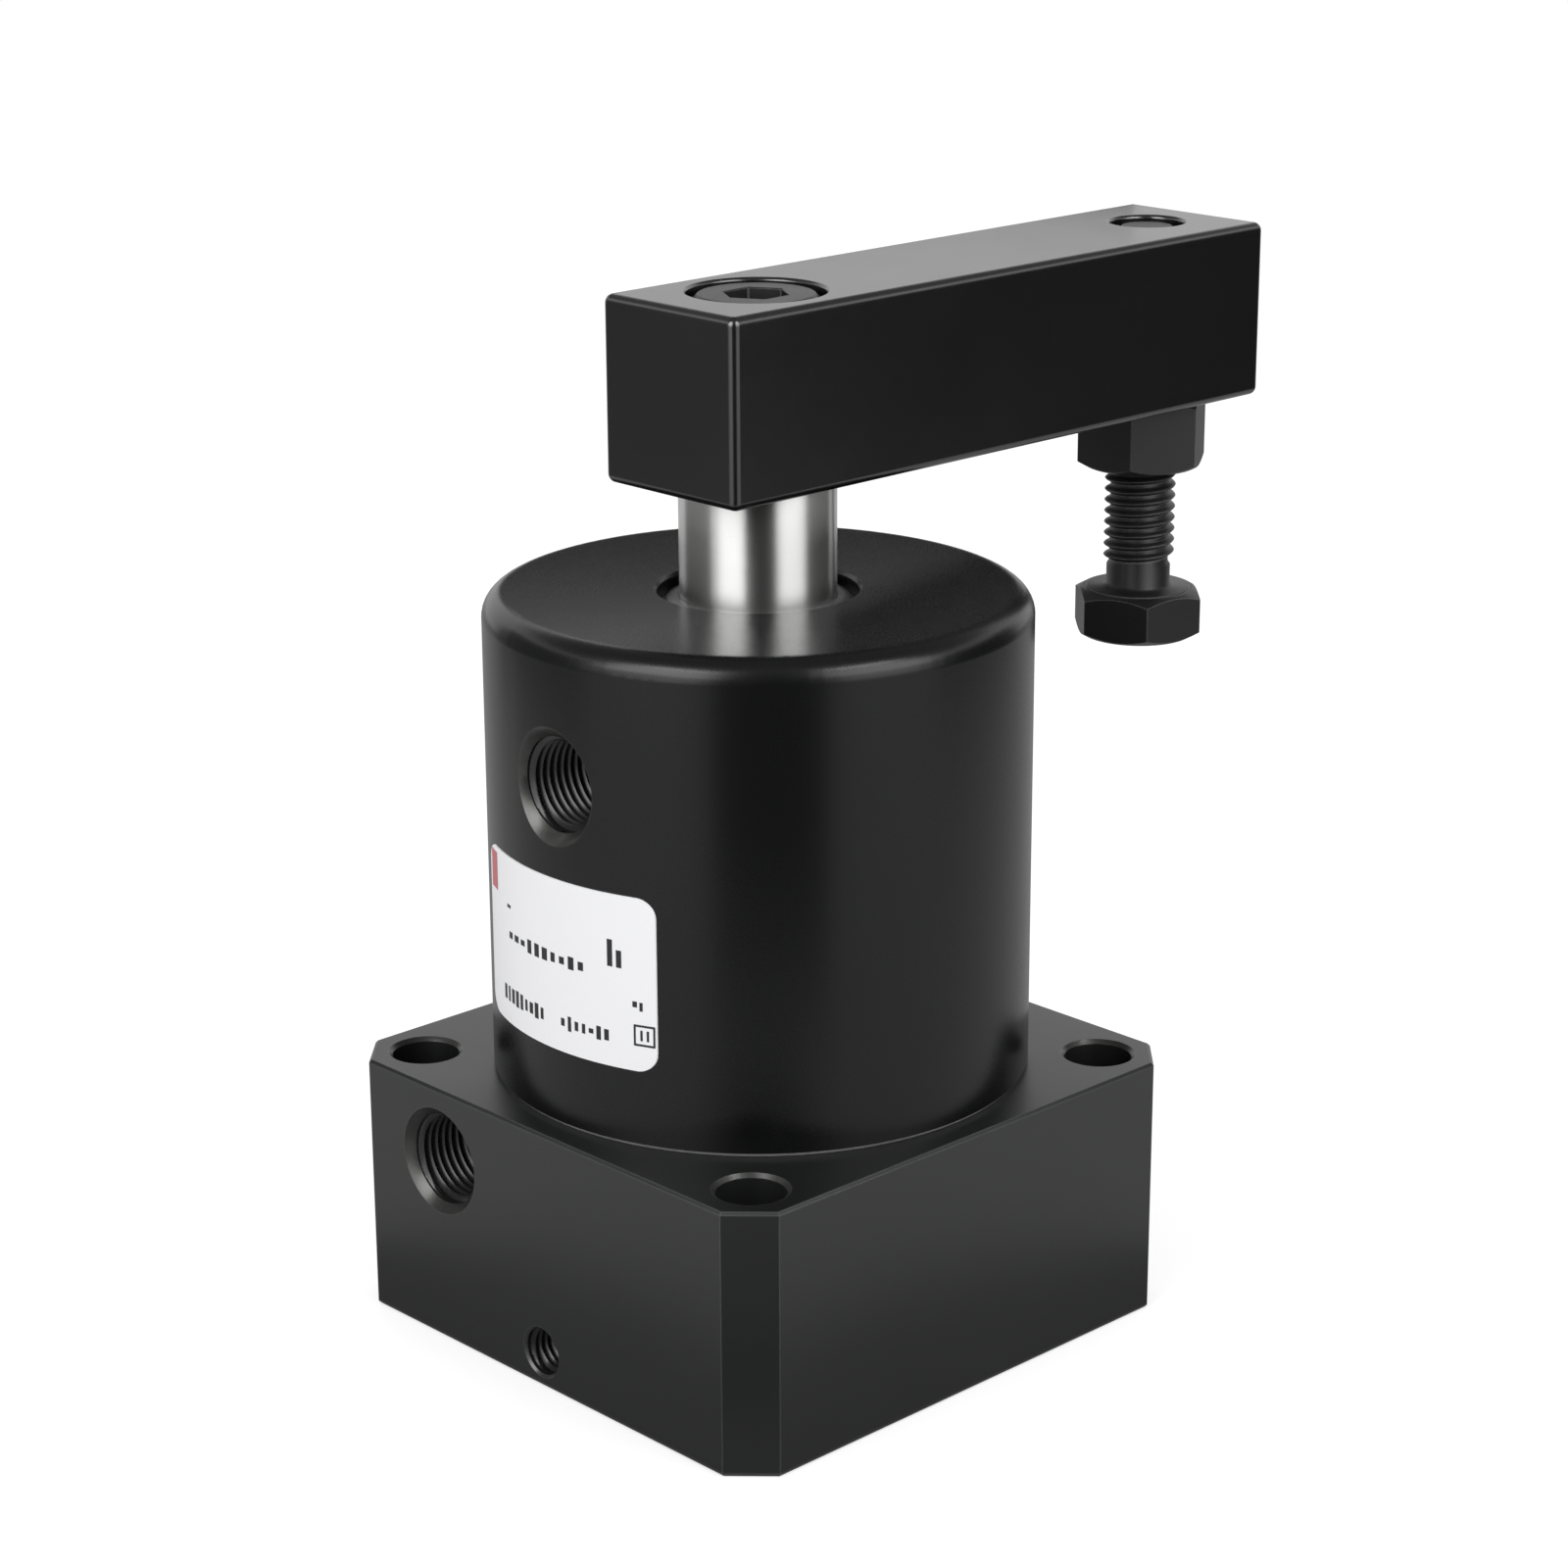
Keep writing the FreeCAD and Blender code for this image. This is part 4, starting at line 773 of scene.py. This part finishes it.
class CLAMP_OT_label_print(bpy.types.Operator):
    """Print the label's generic marks"""
    bl_idname = "clamp.label_print"
    bl_label = "Print the label"

    def execute(self, context):
        layout = context.scene.clamp_label
        thick = layout.mark_thickness
        film = 0.17 * MM
        surface = BARREL_R + film + thick / 2
        # Name, number and spacing of the marks, smallest and largest mark, first angle, height
        rows = (
            ("upper_marks", layout.big_count, 1.3 * MM, (thick, 0.55 * MM, 0.5 * MM),
             (thick, 0.85 * MM, 1.5 * MM), layout.big_first, layout.big_row),
            ("lower_marks_left", layout.small_count, 0.95 * MM, (thick, 0.4 * MM, 1.1 * MM),
             (thick, 0.65 * MM, 1.9 * MM), layout.small_first, layout.small_row),
            ("lower_marks_right", layout.small_count - 2, 0.95 * MM, (thick, 0.4 * MM, 0.5 * MM),
             (thick, 0.65 * MM, 1.7 * MM), layout.small_first + math.radians(22), layout.small_row),
        )
        tree = print_tree()
        for place, (name, count, spacing, small, large, first, height) in enumerate(rows):
            mesh = grown(tree, {"Count": count, "Spacing": spacing, "Smallest": small, "Largest": large,
                                "Radius": surface, "First Angle": first, "Height": height,
                                "Seed": layout.seed + place, "Finish": material_named("Label ink")})
            new_piece(name, mesh, material_named("Label ink"), "housing")
        # Name, finish and blocks, each block as curved_blocks takes it
        bars = (
            ("bold_mark", "Label ink", ((195.2, 48.1, 0.6, 2.8), (197.3, 47.6, 0.6, 1.8))),
            ("top_dash", "Label ink", (
                (163.3, 48.9, 0.8, 0.35), (200.8, 43.2, 0.5, 0.6), (202.2, 43.0, 0.35, 0.9))),
            ("frame_mark", "Label ink", (
                (200.7, 40.0, 0.22, 2.1), (205.0, 40.0, 0.22, 2.1), (202.85, 41.0, 2.3, 0.22),
                (202.85, 39.0, 2.3, 0.22), (202.2, 40.0, 0.25, 1.1), (203.6, 40.0, 0.25, 1.1))),
            ("accent_bar", "Label accent", ((154.9, 51.6, 1.9, 4.0),)),
        )
        for name, look, blocks in bars:
            mesh = curved_blocks(name, blocks, surface, thick)
            new_piece(name, mesh, material_named(look), "housing")
        return {"FINISHED"}


def curved_blocks(name, blocks, radius, thick):
    """Thin blocks on a cylinder; each is (angle in degrees, height, width, tallness) in millimetres."""
    shape = bmesh.new()
    for degrees, height, width, tallness in blocks:
        size = Matrix.Diagonal((thick, width * MM, tallness * MM, 1.0))
        place = Matrix.Translation((radius, 0, height * MM))
        turn = Matrix.Rotation(math.radians(degrees), 4, "Z")
        bmesh.ops.create_cube(shape, size=1.0, matrix=turn @ place @ size)
    return as_mesh(shape, name)


class CLAMP_OT_stage(bpy.types.Operator):
    """Set up the floor, the reflected cards, the lamps and the camera"""
    bl_idname = "clamp.stage"
    bl_label = "Set up the studio"

    def execute(self, context):
        studio = context.scene.clamp_studio
        context.scene.view_settings.view_transform = "Standard"
        white_room(context.scene, studio)
        pale_floor(studio)
        toward_camera = math.atan2(-math.cos(studio.azimuth), math.sin(studio.azimuth))
        # Name, radius in mm, middle and half width in degrees, lower and upper edge in mm, brightness;
        # angles are counted from the camera's side
        cards = (
            ("front_card", 150, 4.5, 21.5, 0, 240, 0.02),
            ("left_card", 200, -98.0, 28.0, 22, 165, studio.card_level * 0.8),
            ("right_card", 200, 98.5, 25.5, 28, 155, studio.card_level * 0.2),
            ("back_card", 100, 180.0, 27.0, 85, 115, studio.card_level * 0.1),
            ("left_strip", 300, -40.0, 25.0, 165, 370, studio.strip_level),
            ("right_strip", 300, 52.0, 25.0, 165, 330, studio.strip_level * 0.8),
        )
        for name, radius, middle, half, low, high, level in cards:
            curved_card(name, radius * MM, toward_camera + math.radians(middle), math.radians(half),
                        low * MM, high * MM, level)
        ahead = Vector((math.cos(toward_camera), math.sin(toward_camera), 0))
        above_floor = UP * 0.5 * MM
        grey_disc("ceiling", 620 * MM, UP * 500 * MM, studio.card_level)
        grey_disc("floor_card", 56 * MM, above_floor, studio.card_level)
        grey_disc("front_mat", 30 * MM, ahead * 82 * MM + above_floor, studio.card_level / 2)
        aim = UP * 80 * MM
        # Name, angle in degrees, distance, height, width and tallness in metres, share of the level
        boxes = (
            ("left_box", -39.0, 0.4, 0.2, 0.27, 0.36, 1.0),
            ("right_box", 50.0, 0.4, 0.2, 0.26, 0.36, 0.8),
            ("left_top_box", -39.0, 0.3, 0.4, 0.2, 0.05, 9.0),
            ("right_top_box", 52.0, 0.3, 0.4, 0.2, 0.05, 8.5),
        )
        for name, turn, reach, height, width, tall, share in boxes:
            angle = toward_camera + math.radians(turn)
            place = Vector((reach * math.cos(angle), reach * math.sin(angle), height))
            soft_box(name, place, aim, width, tall, studio.box_level * share)
        set_camera(context.scene, studio)
        return {"FINISHED"}


def white_room(scene, studio):
    """White where it is seen, softer where it lights."""
    world = bpy.data.worlds.new("White room")
    scene.world = world
    world.use_nodes = True
    tree = world.node_tree
    tree.nodes.clear()
    path = look_node(tree, "ShaderNodeLightPath")
    seen = reckon(tree, "MAXIMUM", path.outputs["Is Camera Ray"], path.outputs["Is Glossy Ray"])
    seen = reckon(tree, "MAXIMUM", seen, path.outputs["Is Transmission Ray"])
    lit = look_node(tree, "ShaderNodeBackground")
    lit.inputs["Strength"].default_value = studio.ambient
    plain = look_node(tree, "ShaderNodeBackground")
    mixed = look_node(tree, "ShaderNodeMixShader")
    leave = look_node(tree, "ShaderNodeOutputWorld")
    for background in (lit, plain):
        background.inputs["Color"].default_value = WHITE
    tree.links.new(seen, mixed.inputs[0])
    tree.links.new(lit.outputs["Background"], mixed.inputs[1])
    tree.links.new(plain.outputs["Background"], mixed.inputs[2])
    tree.links.new(mixed.outputs["Shader"], leave.inputs["Surface"])


def pale_floor(studio):
    """Round pale floor that keeps a faint shadow."""
    radius = 1.2
    shape = bmesh.new()
    bmesh.ops.create_circle(shape, cap_ends=True, segments=96, radius=radius)
    floor = linked("floor", as_mesh(shape, "floor"))
    material = bpy.data.materials.new("Pale floor")
    material.use_nodes = True
    tree = material.node_tree
    tree.nodes.clear()
    path = look_node(tree, "ShaderNodeLightPath")
    matt = look_node(tree, "ShaderNodeBsdfDiffuse")
    matt.inputs["Color"].default_value = FLOOR_GREY
    glow = look_node(tree, "ShaderNodeEmission")
    strength = reckon(tree, "MULTIPLY", path.outputs["Is Camera Ray"], studio.floor_glow)
    tree.links.new(strength, glow.inputs["Strength"])
    both = look_node(tree, "ShaderNodeAddShader")
    leave = look_node(tree, "ShaderNodeOutputMaterial")
    tree.links.new(matt.outputs["BSDF"], both.inputs[0])
    tree.links.new(glow.outputs["Emission"], both.inputs[1])
    tree.links.new(both.outputs["Shader"], leave.inputs["Surface"])
    floor.data.materials.append(material)


def curved_card(name, radius, middle, half_angle, low, high, level):
    """Upright curved card that only reflections see."""
    shape = bmesh.new()
    steps = 24
    columns = []
    for step in range(steps + 1):
        angle = middle - half_angle + 2 * half_angle * step / steps
        side = (radius * math.cos(angle), radius * math.sin(angle))
        columns.append([shape.verts.new((*side, height)) for height in (low, high)])
    for left, right in zip(columns, columns[1:]):
        shape.faces.new((left[0], right[0], right[1], left[1]))
    reflected_only(name, shape, level)


def grey_disc(name, radius, centre, level):
    """Level disc that only reflections see."""
    shape = bmesh.new()
    bmesh.ops.create_circle(shape, cap_ends=True, segments=48, radius=radius,
                            matrix=Matrix.Translation(centre))
    reflected_only(name, shape, level)


def reflected_only(name, shape, level):
    """Turn a shape into an evenly grey stage piece that only glossy rays meet."""
    card = linked(name, as_mesh(shape, name))
    material = bpy.data.materials.new(name)
    material.use_nodes = True
    shader = material.node_tree.nodes["Principled BSDF"]
    shader.inputs["Base Color"].default_value = BLACK
    shader.inputs["Roughness"].default_value = 1.0
    shader.inputs["Specular IOR Level"].default_value = 0.0
    shader.inputs["Emission Color"].default_value = WHITE
    shader.inputs["Emission Strength"].default_value = level
    card.data.materials.append(material)
    for ray in ("camera", "diffuse", "shadow", "transmission", "volume_scatter"):
        setattr(card, "visible_" + ray, False)


def soft_box(name, place, target, width, height, radiance):
    """Rectangular lamp of even brightness."""
    lamp = bpy.data.lights.new(name, "AREA")
    lamp.shape = "RECTANGLE"
    lamp.size = width
    lamp.size_y = height
    lamp.energy = radiance * math.pi * width * height
    box = linked(name, lamp)
    box.location = place
    box.rotation_euler = (target - place).to_track_quat("-Z", "Y").to_euler()
    box.visible_camera = False


def set_camera(scene, studio):
    """Camera at the photograph's place and viewing angle."""
    level = math.cos(studio.elevation)
    back = Vector((math.sin(studio.azimuth) * level, -math.cos(studio.azimuth) * level,
                   math.sin(studio.elevation)))
    target = Vector((studio.target_x, 0, studio.target_z))
    side = (-back).cross(UP).normalized()
    top = side.cross(-back)
    right = side * math.cos(studio.roll) + top * math.sin(studio.roll)
    up = top * math.cos(studio.roll) - side * math.sin(studio.roll)
    lens = bpy.data.cameras.new("Camera")
    lens.lens = studio.lens
    lens.sensor_width = 36.0
    lens.clip_start = 0.01
    camera = linked("Camera", lens)
    turn = Matrix((right, up, back)).transposed().to_4x4()
    camera.matrix_world = Matrix.Translation(target + back * studio.distance) @ turn
    scene.camera = camera


class CLAMP_PT_panel(bpy.types.Panel):
    """Sizes, colours and steps of the clamp cylinder"""
    bl_idname = "CLAMP_PT_panel"
    bl_label = "Clamp cylinder"
    bl_space_type = "VIEW_3D"
    bl_region_type = "UI"
    bl_category = "Clamp cylinder"

    def draw(self, context):
        for step in STEPS:
            self.layout.operator(step.bl_idname)
        for name in GROUPS:
            group = getattr(context.scene, name)
            box = self.layout.box()
            for setting in group.bl_rna.properties.keys():
                if setting not in ("rna_type", "name"):
                    box.prop(group, setting)


STEPS = (CLAMP_OT_finishes, CLAMP_OT_inner_pieces, CLAMP_OT_outer_pieces, CLAMP_OT_port_threads,
         CLAMP_OT_clamp_bolt, CLAMP_OT_arm_screw, CLAMP_OT_label_print, CLAMP_OT_stage)
GROUPS = {"clamp_threads": ClampThreadSizes, "clamp_colours": ClampColours,
          "clamp_label": ClampLabelSizes, "clamp_studio": ClampStudio}


def register():
    """Register the settings, the steps and the panel."""
    for name, group in GROUPS.items():
        bpy.utils.register_class(group)
        setattr(bpy.types.Scene, name, PointerProperty(type=group))
    for step in STEPS:
        bpy.utils.register_class(step)
    bpy.utils.register_class(CLAMP_PT_panel)


def unregister():
    """Take everything back out."""
    bpy.utils.unregister_class(CLAMP_PT_panel)
    for step in reversed(STEPS):
        bpy.utils.unregister_class(step)
    for name, group in GROUPS.items():
        delattr(bpy.types.Scene, name)
        bpy.utils.unregister_class(group)


def main():
    """Make the whole scene."""
    register()
    for step in STEPS:
        group, action = step.bl_idname.split(".")
        getattr(getattr(bpy.ops, group), action)()


if __name__ == "__main__":
    main()
